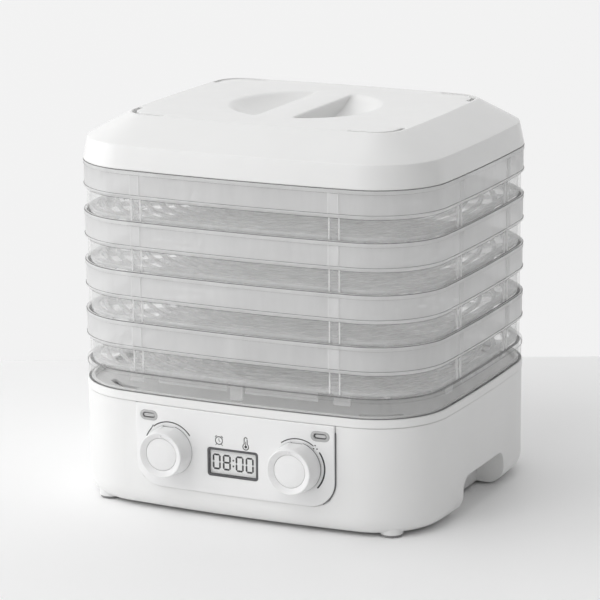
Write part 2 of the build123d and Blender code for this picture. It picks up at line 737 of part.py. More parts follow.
if __name__ == "__main__":
    lid_rim, lid_top = lid()
    save("lid", lid_rim)
    save("lid_top", lid_top)
    wall, grid = tray(RING_TOP + TRAY_PITCH)
    for n in range(4):
        save(f"tray_{4 - n}_wall", Pos(0, 0, TRAY_PITCH * n) * wall)
        save(f"tray_{4 - n}_grid", Pos(0, 0, TRAY_PITCH * n) * grid)
    save("spacer_ring", spacer_ring())
    save("base_housing", base_housing())
    save("base_deck", base_deck())
    save("deck_plate", deck_plate())
    save("bottom_cover", bottom_cover())
    save("control_panel", control_panel())
    save("display_bezel", display_bezel())
    save("display_lens", display_lens())
    save("lcd_panel", lcd_panel())
    save("lcd_holder", lcd_holder())
    for s, knob_name, key in ((-1, "timer", "start"), (1, "temperature", "mode")):
        save(f"{knob_name}_knob", knob(s))
        save(f"{knob_name}_knob_cap", knob_cap(s))
        save(f"{knob_name}_shaft", knob_shaft(s))
        save(f"{knob_name}_potentiometer", potentiometer(s))
        save(f"{key}_button", push_button(s))
        save(f"{key}_button_bezel", pill_bezel(s))
    save("tact_switches", tact_switches())
    save("control_board", control_board())
    save("intake_filter", intake_filter())
    save("motor_bracket", motor_bracket())
    save("fan_motor", fan_motor())
    save("motor_shaft", motor_shaft())
    save("fan_impeller", fan_impeller())
    save("fan_nut", fan_nut())
    save("air_duct", air_duct())
    save("heater_frame", heater_frame())
    save("heater_coils", heater_coils())
    save("heater_shield", heater_shield())
    save("heater_clips", heater_clips())
    save("thermal_cutout", thermal_cutout())
    save("air_thermistor", air_thermistor())
    save("power_board", power_board())
    save("power_transformer", power_transformer())
    save("cord_gland", cord_gland())
    save("rubber_feet", feet())
    save("base_screws", base_screws())
    save("board_screws", board_screws())
    save("power_board_screws", power_board_screws())
    save("motor_screws", motor_screws())
    print("y shift", round(Y_SHIFT, 3), "knob face y", round(KNOB_FACE_Y + Y_SHIFT, 3), "gland y", round(GLAND_OUT_Y + Y_SHIFT, 3))
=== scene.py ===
import json
from math import acos, asin, atan2, cos, degrees, hypot, pi, radians, sin, sqrt

import bmesh
import bpy
import numpy as np
from mathutils import Matrix, Vector
from mathutils.geometry import delaunay_2d_cdt


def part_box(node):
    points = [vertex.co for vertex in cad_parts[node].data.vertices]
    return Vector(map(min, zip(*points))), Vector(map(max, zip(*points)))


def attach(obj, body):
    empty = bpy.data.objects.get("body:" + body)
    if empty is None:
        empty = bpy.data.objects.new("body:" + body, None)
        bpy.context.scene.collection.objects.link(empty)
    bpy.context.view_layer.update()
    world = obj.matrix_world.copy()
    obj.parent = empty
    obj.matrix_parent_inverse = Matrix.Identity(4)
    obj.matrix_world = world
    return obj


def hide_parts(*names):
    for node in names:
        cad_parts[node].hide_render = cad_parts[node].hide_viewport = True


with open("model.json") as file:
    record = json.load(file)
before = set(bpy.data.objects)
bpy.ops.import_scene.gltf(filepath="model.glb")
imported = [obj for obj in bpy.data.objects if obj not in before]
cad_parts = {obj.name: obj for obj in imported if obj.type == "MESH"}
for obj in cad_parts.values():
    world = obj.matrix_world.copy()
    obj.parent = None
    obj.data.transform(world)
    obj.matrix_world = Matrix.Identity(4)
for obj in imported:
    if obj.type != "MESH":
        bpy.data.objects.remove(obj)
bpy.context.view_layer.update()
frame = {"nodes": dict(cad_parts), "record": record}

# ---------------------------------------------------------------- dimensions, mm around the stack axis
ring_lo, ring_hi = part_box("spacer_ring")
YS = (ring_lo.y + ring_hi.y) / 2 * 1000.0
HALF_W, HALF_D, CORNER_R = 140.0, 121.08, 53.3
SAG_FRONT, SAG_SIDE = 7.95, 4.76
R_F = (HALF_W**2 + SAG_FRONT**2) / (2 * SAG_FRONT)
R_S = (HALF_D**2 + SAG_SIDE**2) / (2 * SAG_SIDE)
CY_F, CX_S = -HALF_D + R_F, HALF_W - R_S
PITCH = 36.15
TOPS = {n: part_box(f"tray_{n}_wall")[1].z * 1000.0 for n in (1, 2, 3, 4)}
RING_TOP = ring_hi.z * 1000.0
RING_Z0 = ring_lo.z * 1000.0
LID_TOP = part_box("lid_top")[1].z * 1000.0
LID_SHOULDER = LID_TOP - 16.4
LID_TOP_IN, LID_SHOULDER_IN = 33.9, 3.53
BASE_LINE = 80.0
PANEL_PROUD, PANEL_BACK = 1.4, -1.8
KNOB_X, KNOB_Z, KNOB_H = 49.7, 48.3, 15.4
DISPLAY_Z = 44.2
PILL_X, PILL_Z = 66.5, 71.6


def corner_centre():
    r1, r2 = R_F - CORNER_R, R_S - CORNER_R
    dx, dy = CX_S, -CY_F
    d = hypot(dx, dy)
    t = (r1 * r1 - r2 * r2 + d * d) / (2 * d)
    h = sqrt(r1 * r1 - t * t)
    ux, uy = dx / d, dy / d
    px, py = t * ux, CY_F + t * uy
    both = [(px - h * uy, py + h * ux), (px + h * uy, py - h * ux)]
    return next(c for c in both if c[0] > 0 and c[1] < 0)


CC = corner_centre()
A_F = atan2(CC[0], CY_F - CC[1])  # half angle of the front arc
A_S = atan2(-CC[1], CC[0] - CX_S)  # half angle of the side arc


def quarter(nf=16, nc=22, ns=13):
    """Stations (x, y, nx, ny) of the outline from the front centre to the right centre."""
    out = []
    for i in range(nf):
        a = A_F * i / nf
        out.append((R_F * sin(a), CY_F - R_F * cos(a), sin(a), -cos(a)))
    b0, b1 = atan2(-cos(A_F), sin(A_F)), -A_S
    for i in range(nc):
        a = b0 + (b1 - b0) * i / nc
        out.append((CC[0] + CORNER_R * cos(a), CC[1] + CORNER_R * sin(a), cos(a), sin(a)))
    for i in range(ns + 1):
        a = -A_S + A_S * i / ns
        out.append((CX_S + R_S * cos(a), R_S * sin(a), cos(a), sin(a)))
    return out


def around(nf=16, nc=22, ns=13):
    """All stations of the outline, counter-clockwise from the front centre."""
    q = quarter(nf, nc, ns)
    rb = [(x, -y, nx, -ny) for x, y, nx, ny in q[-2::-1]]
    h = q + rb  # right half, front centre to back centre
    lh = [(-x, y, -nx, ny) for x, y, nx, ny in h[-2:0:-1]]
    return h + lh


STATIONS = around()


def inset(stations, u):
    return [(x - u * nx, y - u * ny) for x, y, nx, ny in stations]


def front_run(x0, x1, n, back=False):
    out = []
    for i in range(n + 1):
        x = x0 + (x1 - x0) * i / n
        a = asin(x / R_F)
        y, ny = CY_F - R_F * cos(a), -cos(a)
        out.append((x, -y, sin(a), -ny) if back else (x, y, sin(a), ny))
    return out


def side_run(y0, y1, n, left=False):
    out = []
    for i in range(n + 1):
        y = y0 + (y1 - y0) * i / n
        a = asin(y / R_S)
        x, nx = CX_S + R_S * cos(a), cos(a)
        out.append((-x, y, -nx, sin(a)) if left else (x, y, nx, sin(a)))
    return out


def depth_in(x, y):
    """How far inside the outline a point lies."""
    x, y = abs(x), -abs(y)
    dx, dy = x - CC[0], y - CC[1]
    c1 = sin(A_F) * dy + cos(A_F) * dx
    c2 = dx * sin(-A_S) - dy * cos(-A_S)
    if c1 > 0 and c2 > 0:
        return CORNER_R - hypot(dx, dy)
    return min(R_F - hypot(x, y - CY_F), R_S - hypot(x - CX_S, y))


def front_y(x, off=0.0):
    return CY_F - sqrt((R_F + off) ** 2 - x * x)


# ---------------------------------------------------------------- 2-D helpers
def rounded(points, radii, closed=True, n=4):
    """The polyline with its corners turned into arcs. radii is a number or one per point."""
    m = len(points)
    if not hasattr(radii, "__len__"):
        radii = [radii] * m
    out = []
    for i in range(m):
        p = Vector(points[i])
        r = radii[i]
        if r <= 0 or (not closed and i in (0, m - 1)):
            out.append((p.x, p.y))
            continue
        a, c = Vector(points[i - 1]), Vector(points[(i + 1) % m])
        u, w = (a - p), (c - p)
        lu, lw = u.length, w.length
        u.normalize()
        w.normalize()
        ang = acos(max(-1.0, min(1.0, u.dot(w))))
        if ang > pi - 0.02:
            out.append((p.x, p.y))
            continue
        t = min(r / (sin(ang / 2) / cos(ang / 2)), 0.46 * lu, 0.46 * lw)
        rr = t * sin(ang / 2) / cos(ang / 2)
        mid = (u + w).normalized() * (rr / sin(ang / 2))
        cen = p + mid
        s, e = p + u * t - cen, p + w * t - cen
        a0, a1 = atan2(s.y, s.x), atan2(e.y, e.x)
        d = (a1 - a0 + pi) % (2 * pi) - pi
        for k in range(n + 1):
            q = a0 + d * k / n
            out.append((cen.x + rr * cos(q), cen.y + rr * sin(q)))
    return out


def rect_loop(cx, cz, w, h, r, n=6):
    pts = [(cx - w / 2, cz - h / 2), (cx + w / 2, cz - h / 2), (cx + w / 2, cz + h / 2), (cx - w / 2, cz + h / 2)]
    return rounded(pts, r, True, n)


def circle_loop(cx, cz, r, n=48):
    return [(cx + r * cos(2 * pi * i / n), cz + r * sin(2 * pi * i / n)) for i in range(n)]


def pill_loop(cx, cz, w, h, n=10):
    r, d = h / 2, (w - h) / 2
    out = [(cx + d + r * cos(a), cz + r * sin(a)) for a in np.linspace(-pi / 2, pi / 2, n)]
    return out + [(cx - d + r * cos(a), cz + r * sin(a)) for a in np.linspace(pi / 2, 3 * pi / 2, n)]


def band_loop(path, hw, n=5, round_ends=True):
    """Outline of a stroke of half width hw along a path of 2-D points."""
    p = np.array(path, float)
    t = np.gradient(p, axis=0)
    t /= np.linalg.norm(t, axis=1)[:, None]
    nn = np.stack([-t[:, 1], t[:, 0]], 1)
    right = [tuple(q) for q in p - nn * hw]
    left = [tuple(q) for q in (p + nn * hw)[::-1]]
    if not round_ends:
        return right + left

    def cap(c, d):
        a = atan2(d[1], d[0])
        return [(c[0] + hw * cos(a + s), c[1] + hw * sin(a + s)) for s in np.linspace(-pi / 2, pi / 2, n + 2)[1:-1]]

    return right + cap(p[-1], t[-1]) + left + cap(p[0], -t[0])


def grow(loop, d):
    """A loop moved outwards by d (inwards when negative)."""
    p = np.array(loop, float)
    area = 0.5 * np.sum(p[:, 0] * np.roll(p[:, 1], -1) - np.roll(p[:, 0], -1) * p[:, 1])
    e0, e1 = p - np.roll(p, 1, 0), np.roll(p, -1, 0) - p
    e0 /= np.maximum(np.linalg.norm(e0, axis=1)[:, None], 1e-9)
    e1 /= np.maximum(np.linalg.norm(e1, axis=1)[:, None], 1e-9)
    n0, n1 = np.stack([e0[:, 1], -e0[:, 0]], 1), np.stack([e1[:, 1], -e1[:, 0]], 1)
    nn = n0 + n1
    nn /= np.maximum(np.linalg.norm(nn, axis=1)[:, None], 1e-9)
    k = 1.0 / np.maximum((nn * n1).sum(1), 0.5)
    s = 1.0 if area > 0 else -1.0
    return [tuple(q) for q in p + nn * (s * d * k)[:, None]]


def inside(points, loop):
    x, y = points[:, 0], points[:, 1]
    res = np.zeros(len(points), bool)
    p = np.array(loop, float)
    q = np.roll(p, -1, 0)
    for (x0, y0), (x1, y1) in zip(p, q):
        if y0 == y1:
            continue
        hit = ((y0 > y) != (y1 > y)) & (x < (x1 - x0) * (y - y0) / (y1 - y0) + x0)
        res ^= hit
    return res


# ---------------------------------------------------------------- mesh builder
class Build:
    def __init__(self):
        self.v, self.f, self.m = [], [], []

    def add(self, verts, faces, mat=0):
        base = len(self.v)
        self.v.extend(verts)
        self.f.extend(tuple(base + i for i in f) for f in faces)
        self.m.extend(mat if hasattr(mat, "__len__") else [mat] * len(faces))

    def grid(self, rows, loop=True, wrap=False, mat=0):
        """Quads between rows of 3-D points; loop joins the ends of each row, wrap joins the last row to the first."""
        n, k = len(rows[0]), len(rows)
        verts = [p for r in rows for p in r]
        faces, mats = [], []
        for i in range(k if wrap else k - 1):
            j = (i + 1) % k
            mm = mat[i] if hasattr(mat, "__len__") else mat
            for s in range(n if loop else n - 1):
                t = (s + 1) % n
                faces.append((i * n + s, i * n + t, j * n + t, j * n + s))
                mats.append(mm)
        self.add(verts, faces, mats)

    def cap(self, points, mat=0):
        self.add(list(points), [tuple(range(len(points)))], mat)

    def sweep(self, profile, stations=None, loop=True, wrap=True, mat=0):
        """A profile of (inset, height) points carried round the outline; part runs get end caps."""
        st = STATIONS if stations is None else stations
        rows = [[(x - u * nx, y - u * ny, z) for x, y, nx, ny in st] for u, z in profile]
        if callable(mat):
            nxt = profile[1:] + profile[:1]
            mat = [mat((a[1] + b[1]) / 2, (a[0] + b[0]) / 2) for a, b in zip(profile, nxt)]
        self.grid(rows, loop, wrap, mat)
        if not loop:
            m0 = mat[0] if hasattr(mat, "__len__") else mat
            self.cap([r[0] for r in rows], m0)
            self.cap([r[-1] for r in rows], m0)

    def fill(self, outer, holes, lift, step=0.0, mat=0):
        """A sheet inside one loop and outside others, laid out in 2-D and lifted to 3-D."""
        coords, edges = [], []
        for lp in [outer] + list(holes):
            s, n = len(coords), len(lp)
            coords += [Vector((float(p[0]), float(p[1]))) for p in lp]
            edges += [(s + i, s + (i + 1) % n) for i in range(n)]
        if step:
            o = np.array(outer, float)
            lo, hi = o.min(0), o.max(0)
            gx, gy = np.arange(lo[0] + step / 2, hi[0], step), np.arange(lo[1] + step / 2, hi[1], step)
            g = np.array([(x, y) for x in gx for y in gy])
            ok = inside(g, outer)
            for h in holes:
                ok &= ~inside(g, h)
            g = g[ok]
            edge_pts = np.array([tuple(c) for c in coords])
            if len(g):
                d = np.min(np.linalg.norm(g[:, None, :] - edge_pts[None], axis=2), axis=1)
                coords += [Vector((float(x), float(y))) for x, y in g[d > 0.35 * step]]
        vs, _, fs, *_ = delaunay_2d_cdt(coords, edges, [], 1, 1e-7)
        vs = np.array([tuple(v) for v in vs])
        cen = np.array([vs[list(f)].mean(0) for f in fs])
        ok = inside(cen, outer)
        for h in holes:
            ok &= ~inside(cen, h)
        self.add([lift(float(x), float(y)) for x, y in vs], [tuple(f) for f, k in zip(fs, ok) if k], mat)

    def lathe(self, profile, place, n=72, wrap=False, radius=None, mat=0, angles=None):
        """A (radius, height) profile turned about an axis. place maps local (x, y, h) to 3-D."""
        angles = angles if angles is not None else [2 * pi * i / n for i in range(n)]
        rows = []
        for r, h in profile:
            row = []
            for a in angles:
                q = radius(r, h, a) if radius else r
                row.append(place(q * cos(a), q * sin(a), h))
            rows.append(row)
        self.grid(rows, True, wrap, mat)

    def plate(self, outer, holes, lift, edge=0.4, hole_edge=0.25, back=1.0, step=0.0, mat=0, back_sheet=True):
        """A plate with rounded front edges. lift maps (x, z, depth behind the front face) to 3-D."""
        n = 4
        ks = [k / n * pi / 2 for k in range(n + 1)]
        self.fill(grow(outer, -edge), [grow(h, hole_edge) for h in holes], lambda x, z: lift(x, z, 0.0), step, mat)
        rows = [[lift(x, z, edge * (1 - cos(a))) for x, z in grow(outer, -edge * (1 - sin(a)))] for a in ks]
        rows.append([lift(x, z, back) for x, z in outer])
        self.grid(rows, True, False, mat)
        for h in holes:
            rows = [[lift(x, z, hole_edge * (1 - cos(a))) for x, z in grow(h, hole_edge * (1 - sin(a)))] for a in ks]
            rows.append([lift(x, z, back) for x, z in h])
            self.grid(rows, True, False, mat)
        if back_sheet:
            self.fill(outer, holes, lambda x, z: lift(x, z, back), step, mat)

    def make(self, name, mats, body, replaces=(), angle=32.0):
        me = bpy.data.meshes.new(name)
        me.from_pydata([(x / 1000.0, (y + YS) / 1000.0, z / 1000.0) for x, y, z in self.v], [], self.f)
        for m in mats:
            me.materials.append(m)
        me.polygons.foreach_set("material_index", np.array(self.m, np.int32))
        bm = bmesh.new()
        bm.from_mesh(me)
        bmesh.ops.remove_doubles(bm, verts=bm.verts, dist=2e-6)
        bmesh.ops.dissolve_degenerate(bm, edges=bm.edges, dist=1e-6)
        bmesh.ops.recalc_face_normals(bm, faces=bm.faces)
        bm.to_mesh(me)
        bm.free()
        me.polygons.foreach_set("use_smooth", np.ones(len(me.polygons), bool))
        me.set_sharp_from_angle(angle=radians(angle))
        me.update()
        ob = bpy.data.objects.new(name, me)
        bpy.context.scene.collection.objects.link(ob)
        if body:
            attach(ob, body)
            if replaces:
                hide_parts(*replaces)
        return ob


# ---------------------------------------------------------------- materials
def new_material(name):
    m = bpy.data.materials.new(name)
    m.use_nodes = True
    nt = m.node_tree
    for n in list(nt.nodes):
        nt.nodes.remove(n)
    out = nt.nodes.new("ShaderNodeOutputMaterial")
    bsdf = nt.nodes.new("ShaderNodeBsdfPrincipled")
    nt.links.new(bsdf.outputs["BSDF"], out.inputs["Surface"])
    co = nt.nodes.new("ShaderNodeTexCoord")
    return m, nt, bsdf, out, co.outputs["Object"]


def noise(nt, co, scale, detail=3.0, rough=0.5, stretch=None):
    n = nt.nodes.new("ShaderNodeTexNoise")
    n.inputs["Scale"].default_value = scale
    n.inputs["Detail"].default_value = detail
    n.inputs["Roughness"].default_value = rough
    if stretch:
        mp = nt.nodes.new("ShaderNodeMapping")
        mp.inputs["Scale"].default_value = stretch
        nt.links.new(co, mp.inputs["Vector"])
        nt.links.new(mp.outputs["Vector"], n.inputs["Vector"])
    else:
        nt.links.new(co, n.inputs["Vector"])
    return n.outputs["Fac"]


def ranged(nt, value, lo, hi, src=(0.3, 0.7)):
    n = nt.nodes.new("ShaderNodeMapRange")
    n.inputs["From Min"].default_value, n.inputs["From Max"].default_value = src
    n.inputs["To Min"].default_value, n.inputs["To Max"].default_value = lo, hi
    nt.links.new(value, n.inputs["Value"])
    return n.outputs["Result"]


def mixed(nt, fac, a, b):
    n = nt.nodes.new("ShaderNodeMix")
    n.data_type = "RGBA"
    n.inputs["A"].default_value = (*a, 1.0)
    n.inputs["B"].default_value = (*b, 1.0)
    nt.links.new(fac, n.inputs["Factor"])
    return n.outputs["Result"]


def bump(nt, bsdf, height, strength, distance, base=None):
    n = nt.nodes.new("ShaderNodeBump")
    n.inputs["Strength"].default_value = strength
    n.inputs["Distance"].default_value = distance
    nt.links.new(height, n.inputs["Height"])
    if base is not None:
        nt.links.new(base, n.inputs["Normal"])
    nt.links.new(n.outputs["Normal"], bsdf.inputs["Normal"])
    return n


def plastic(name, color, rough=0.35, spec=0.5, grain=0.05, soft_edge=0.0, vary=0.015, coat=0.0, grain_scale=2600.0):
    m, nt, bsdf, out, co = new_material(name)
    big = noise(nt, co, 14.0, 4.0, 0.55)
    mid = noise(nt, co, 90.0, 3.0, 0.5)
    a = tuple(min(1.0, c * (1 - vary)) for c in color)
    b = tuple(min(1.0, c * (1 + vary)) for c in color)
    nt.links.new(mixed(nt, ranged(nt, big, 0.0, 1.0), a, b), bsdf.inputs["Base Color"])
    nt.links.new(ranged(nt, mid, rough - 0.05, rough + 0.06), bsdf.inputs["Roughness"])
    bsdf.inputs["Specular IOR Level"].default_value = spec
    if coat:
        bsdf.inputs["Coat Weight"].default_value = coat
        bsdf.inputs["Coat Roughness"].default_value = 0.12
    base = None
    if soft_edge:
        bv = nt.nodes.new("ShaderNodeBevel")
        bv.samples = 4
        bv.inputs["Radius"].default_value = soft_edge
        base = bv.outputs["Normal"]
    bump(nt, bsdf, noise(nt, co, grain_scale, 2.0, 0.6), grain, 0.0002, base)
    return m


def metal(name, color, rough=0.32, stretch=(1.0, 60.0, 1.0), brushed=0.25, scale=60.0):
    m, nt, bsdf, out, co = new_material(name)
    line = noise(nt, co, scale, 4.0, 0.65, stretch)
    a, b = tuple(c * 0.86 for c in color), tuple(min(1.0, c * 1.08) for c in color)
    nt.links.new(mixed(nt, ranged(nt, line, 0.0, 1.0), a, b), bsdf.inputs["Base Color"])
    nt.links.new(ranged(nt, line, rough - 0.08, rough + 0.12), bsdf.inputs["Roughness"])
    bsdf.inputs["Metallic"].default_value = 1.0
    bump(nt, bsdf, line, brushed, 0.00015)
    return m


def rubber(name, color, rough=0.75):
    m, nt, bsdf, out, co = new_material(name)
    fine = noise(nt, co, 900.0, 3.0, 0.6)
    dust = noise(nt, co, 60.0, 4.0, 0.6)
    nt.links.new(mixed(nt, ranged(nt, dust, 0.0, 1.0, (0.4, 0.75)), color, tuple(min(1.0, c * 1.25 + 0.02) for c in color)), bsdf.inputs["Base Color"])
    nt.links.new(ranged(nt, fine, rough - 0.08, rough + 0.1), bsdf.inputs["Roughness"])
    bump(nt, bsdf, fine, 0.25, 0.0003)
    return m


def mesh_cloth(name, color):
    m, nt, bsdf, out, co = new_material(name)
    waves = []
    for axis in ("X", "Y"):
        w = nt.nodes.new("ShaderNodeTexWave")
        w.bands_direction = axis
        w.inputs["Scale"].default_value = 160.0
        w.inputs["Distortion"].default_value = 0.4
        nt.links.new(co, w.inputs["Vector"])
        waves.append(w.outputs["Fac"])
    mx = nt.nodes.new("ShaderNodeMath")
    mx.operation = "MAXIMUM"
    nt.links.new(waves[0], mx.inputs[0])
    nt.links.new(waves[1], mx.inputs[1])
    nt.links.new(mixed(nt, mx.outputs[0], tuple(c * 0.35 for c in color), tuple(c * 1.3 for c in color)), bsdf.inputs["Base Color"])
    bsdf.inputs["Roughness"].default_value = 0.85
    bump(nt, bsdf, mx.outputs[0], 0.6, 0.0004)
    return m


def board(name, color):
    m, nt, bsdf, out, co = new_material(name)
    v = nt.nodes.new("ShaderNodeTexVoronoi")
    v.feature = "DISTANCE_TO_EDGE"
    v.distance = "MANHATTAN" if hasattr(v, "distance") else v.distance
    v.inputs["Scale"].default_value = 140.0
    nt.links.new(co, v.inputs["Vector"])
    track = ranged(nt, v.outputs["Distance"], 1.0, 0.0, (0.03, 0.06))
    nt.links.new(mixed(nt, track, color, tuple(min(1.0, c * 1.7 + 0.01) for c in color)), bsdf.inputs["Base Color"])
    nt.links.new(ranged(nt, noise(nt, co, 300.0), 0.28, 0.42), bsdf.inputs["Roughness"])
    bump(nt, bsdf, track, 0.3, 0.0001)
    return m


def ceramic(name, color, flake=0.0):
    m, nt, bsdf, out, co = new_material(name)
    n1 = noise(nt, co, 240.0 if flake else 80.0, 5.0, 0.65)
    nt.links.new(mixed(nt, ranged(nt, n1, 0.0, 1.0), tuple(c * (0.7 if flake else 0.94) for c in color), tuple(min(1.0, c * (1.2 if flake else 1.04)) for c in color)), bsdf.inputs["Base Color"])
    nt.links.new(ranged(nt, n1, 0.4, 0.62), bsdf.inputs["Roughness"])
    bump(nt, bsdf, noise(nt, co, 1500.0), 0.15, 0.0002)
    return m


def clear(name, color, haze, edge, rough, streak=0.3, tint=(0.985, 0.985, 0.985), grain=0.12, through=0.5):
    """See-through moulded plastic: a hazy white skin over a clear body, denser at glancing angles."""
    m, nt, bsdf, out, co = new_material(name)
    big = noise(nt, co, 22.0, 4.0, 0.6)
    flow = noise(nt, co, 60.0, 3.0, 0.55, (1.0, 1.0, 0.22))
    a, b = tuple(c * 0.985 for c in color), tuple(min(1.0, c * 1.01) for c in color)
    nt.links.new(mixed(nt, ranged(nt, big, 0.0, 1.0), a, b), bsdf.inputs["Base Color"])
    nt.links.new(ranged(nt, flow, rough - 0.05, rough + 0.08), bsdf.inputs["Roughness"])
    bsdf.inputs["Specular IOR Level"].default_value = 0.6
    bump(nt, bsdf, flow, grain, 0.0012)
    lw = nt.nodes.new("ShaderNodeLayerWeight")
    lw.inputs["Blend"].default_value = 0.35
    pw = nt.nodes.new("ShaderNodeMath")
    pw.operation = "POWER"
    nt.links.new(lw.outputs["Facing"], pw.inputs[0])
    pw.inputs[1].default_value = 2.0
    ed = nt.nodes.new("ShaderNodeMath")
    ed.operation = "MULTIPLY_ADD"
    nt.links.new(pw.outputs[0], ed.inputs[0])
    ed.inputs[1].default_value = edge
    nt.links.new(ranged(nt, flow, haze * (1 - streak), haze * (1 + streak)), ed.inputs[2])
    ed.use_clamp = True
    tr = nt.nodes.new("ShaderNodeBsdfTransparent")
    tr.inputs["Color"].default_value = (*tint, 1.0)
    skin = bsdf
    if through:
        lit = nt.nodes.new("ShaderNodeBsdfTranslucent")
        lit.inputs["Color"].default_value = (*(min(1.0, c * 1.04) for c in color), 1.0)
        skin = nt.nodes.new("ShaderNodeMixShader")
        skin.inputs["Fac"].default_value = through
        nt.links.new(bsdf.outputs[0], skin.inputs[1])
        nt.links.new(lit.outputs[0], skin.inputs[2])
    mx = nt.nodes.new("ShaderNodeMixShader")
    nt.links.new(ed.outputs[0], mx.inputs["Fac"])
    nt.links.new(tr.outputs[0], mx.inputs[1])
    nt.links.new(skin.outputs[0], mx.inputs[2])
    nt.links.new(mx.outputs[0], out.inputs["Surface"])
    return m


MAT = {
    "lid_white": plastic("lid_white", (0.85, 0.85, 0.845), 0.38, 0.5, 0.03, coat=0.35),
    "base_white": plastic("base_white", (0.865, 0.865, 0.86), 0.36, 0.5, 0.05, 0.0009),
    "deck_white": plastic("deck_white", (0.87, 0.87, 0.865), 0.36, 0.5, 0.05, 0.0005),
    "cover_white": plastic("cover_white", (0.8, 0.8, 0.79), 0.5, 0.4, 0.25, 0.0004),
    "panel_white": plastic("panel_white", (0.88, 0.88, 0.88), 0.36, 0.5, 0.04),
    "dark_trim": plastic("dark_trim", (0.1, 0.1, 0.105), 0.35, 0.5, 0.05, vary=0.08),
    "print_grey": plastic("print_grey", (0.06, 0.06, 0.063), 0.5, 0.3, 0.05, vary=0.1),
    "lcd_grey": plastic("lcd_grey", (0.9, 0.9, 0.895), 0.36, 0.5, 0.03),
    "lcd_ink": plastic("lcd_ink", (0.05, 0.05, 0.05), 0.4, 0.3, 0.03, vary=0.1),
    "holder_black": plastic("holder_black", (0.05, 0.05, 0.05), 0.5, 0.4, 0.2, vary=0.1),
    "knob_white": plastic("knob_white", (0.87, 0.87, 0.87), 0.36, 0.5, 0.04),
    "knob_cap": plastic("knob_cap", (0.89, 0.89, 0.89), 0.37, 0.5, 0.04),
    "button_grey": plastic("button_grey", (0.6, 0.6, 0.6), 0.45, 0.4, 0.12),
    "bezel_grey": plastic("bezel_grey", (0.5, 0.5, 0.5), 0.42, 0.4, 0.1),
    "fan_black": plastic("fan_black", (0.04, 0.04, 0.043), 0.45, 0.4, 0.2, vary=0.12),
    "duct_plastic": plastic("duct_plastic", (0.74, 0.73, 0.7), 0.5, 0.4, 0.2),
    "gland_grey": plastic("gland_grey", (0.74, 0.74, 0.74), 0.45, 0.4, 0.2, 0.0004),
    "steel": metal("steel", (0.58, 0.58, 0.6), 0.3),
    "zinc": metal("zinc", (0.66, 0.66, 0.66), 0.38, (1, 1, 1), 0.2, 400.0),
    "steel_sheet": metal("steel_sheet", (0.62, 0.63, 0.65), 0.34, (40.0, 1.0, 1.0)),
    "motor_steel": metal("motor_steel", (0.52, 0.52, 0.54), 0.34, (1.0, 1.0, 30.0)),
    "brass_nut": metal("brass_nut", (0.78, 0.58, 0.28), 0.28),
    "heater_wire": metal("heater_wire", (0.42, 0.36, 0.32), 0.5, (1, 1, 1), 0.5, 900.0),
    "aluminium_sheet": metal("aluminium_sheet", (0.8, 0.8, 0.81), 0.36, (1.0, 40.0, 1.0)),
    "transformer_core": metal("transformer_core", (0.22, 0.22, 0.24), 0.5, (1.0, 1.0, 90.0), 0.6),
    "screw_zinc": metal("screw_zinc", (0.7, 0.7, 0.72), 0.3, (1, 1, 1), 0.2, 600.0),
    "foot_rubber": rubber("foot_rubber", (0.26, 0.26, 0.26)),
    "filter_grey": mesh_cloth("filter_grey", (0.3, 0.3, 0.31)),
    "board_green": board("board_green", (0.05, 0.22, 0.1)),
    "mica": ceramic("mica", (0.6, 0.5, 0.36), 1.0),
    "ceramic_white": ceramic("ceramic_white", (0.84, 0.83, 0.79)),
    "lens_clear": clear("lens_clear", (0.9, 0.92, 0.92), 0.01, 0.1, 0.08, 0.2, grain=0.0, through=0.0),
    "tray_clear": clear("tray_clear", (0.96, 0.96, 0.96), 0.09, 0.35, 0.14, 0.3, grain=0.05),
    "tray_frost": clear("tray_frost", (0.92, 0.92, 0.92), 0.78, 0.15, 0.36, 0.05, grain=0.04, through=0.45),
    "tray_grid": clear("tray_grid", (0.98, 0.98, 0.98), 0.5, 0.3, 0.25, 0.1, grain=0.05),
    # painted shade: a dark skin drawn along the joints and gaps of the trays and the ring
    "tray_edge": clear("tray_edge", (0.2, 0.2, 0.2), 0.75, 0.2, 0.3, 0.1, grain=0.03),
    # painted highlight: a near-opaque white skin drawn as bright lines on tray rims and edges
    "tray_bead": clear("tray_bead", (0.97, 0.97, 0.97), 0.8, 0.1, 0.2, 0.05, grain=0.03),
    "ring_clear": clear("ring_clear", (0.9, 0.9, 0.9), 0.09, 0.35, 0.18, 0.25, grain=0.05),
}

node_slots = {p["node"]: p["material_slot"] for p in frame["record"]["subparts"]}
for name, ob in frame["nodes"].items():
    me = ob.data
    names = [m.name if m else "" for m in me.materials]
    if not me.materials:
        me.materials.append(None)
    for i in range(len(me.materials)):
        key = node_slots.get(name)
        if key is None or key not in MAT:
            key = next((k for k in MAT if names and k in names[min(i, len(names) - 1)]), "base_white")
        me.materials[i] = MAT[key]
    me.polygons.foreach_set("use_smooth", np.ones(len(me.polygons), bool))
    me.update()


# ---------------------------------------------------------------- lid
def d_loop(R, x0, rc, s, na=64, nc=8, nf=24):
    """Half disc on the s side of the bar, with rounded corners."""
    rc = max(0.02, min(rc, (R - x0) * 0.42))
    cx = x0 + rc
    cy = sqrt(max((R - rc) ** 2 - cx * cx, 1e-6))
    a1 = atan2(cy, cx)
    pts = [(R * cos(-a1 + 2 * a1 * i / na), R * sin(-a1 + 2 * a1 * i / na)) for i in range(na + 1)]
    pts += [(cx + rc * cos(a1 + (pi - a1) * i / nc), cy + rc * sin(a1 + (pi - a1) * i / nc)) for i in range(1, nc + 1)]
    pts += [(x0, cy - 2 * cy * i / nf) for i in range(1, nf + 1)]
    pts += [(cx + rc * cos(pi + (pi - a1) * i / nc), -cy + rc * sin(pi + (pi - a1) * i / nc)) for i in range(1, nc)]
    return [(s * x, y) for x, y in pts]


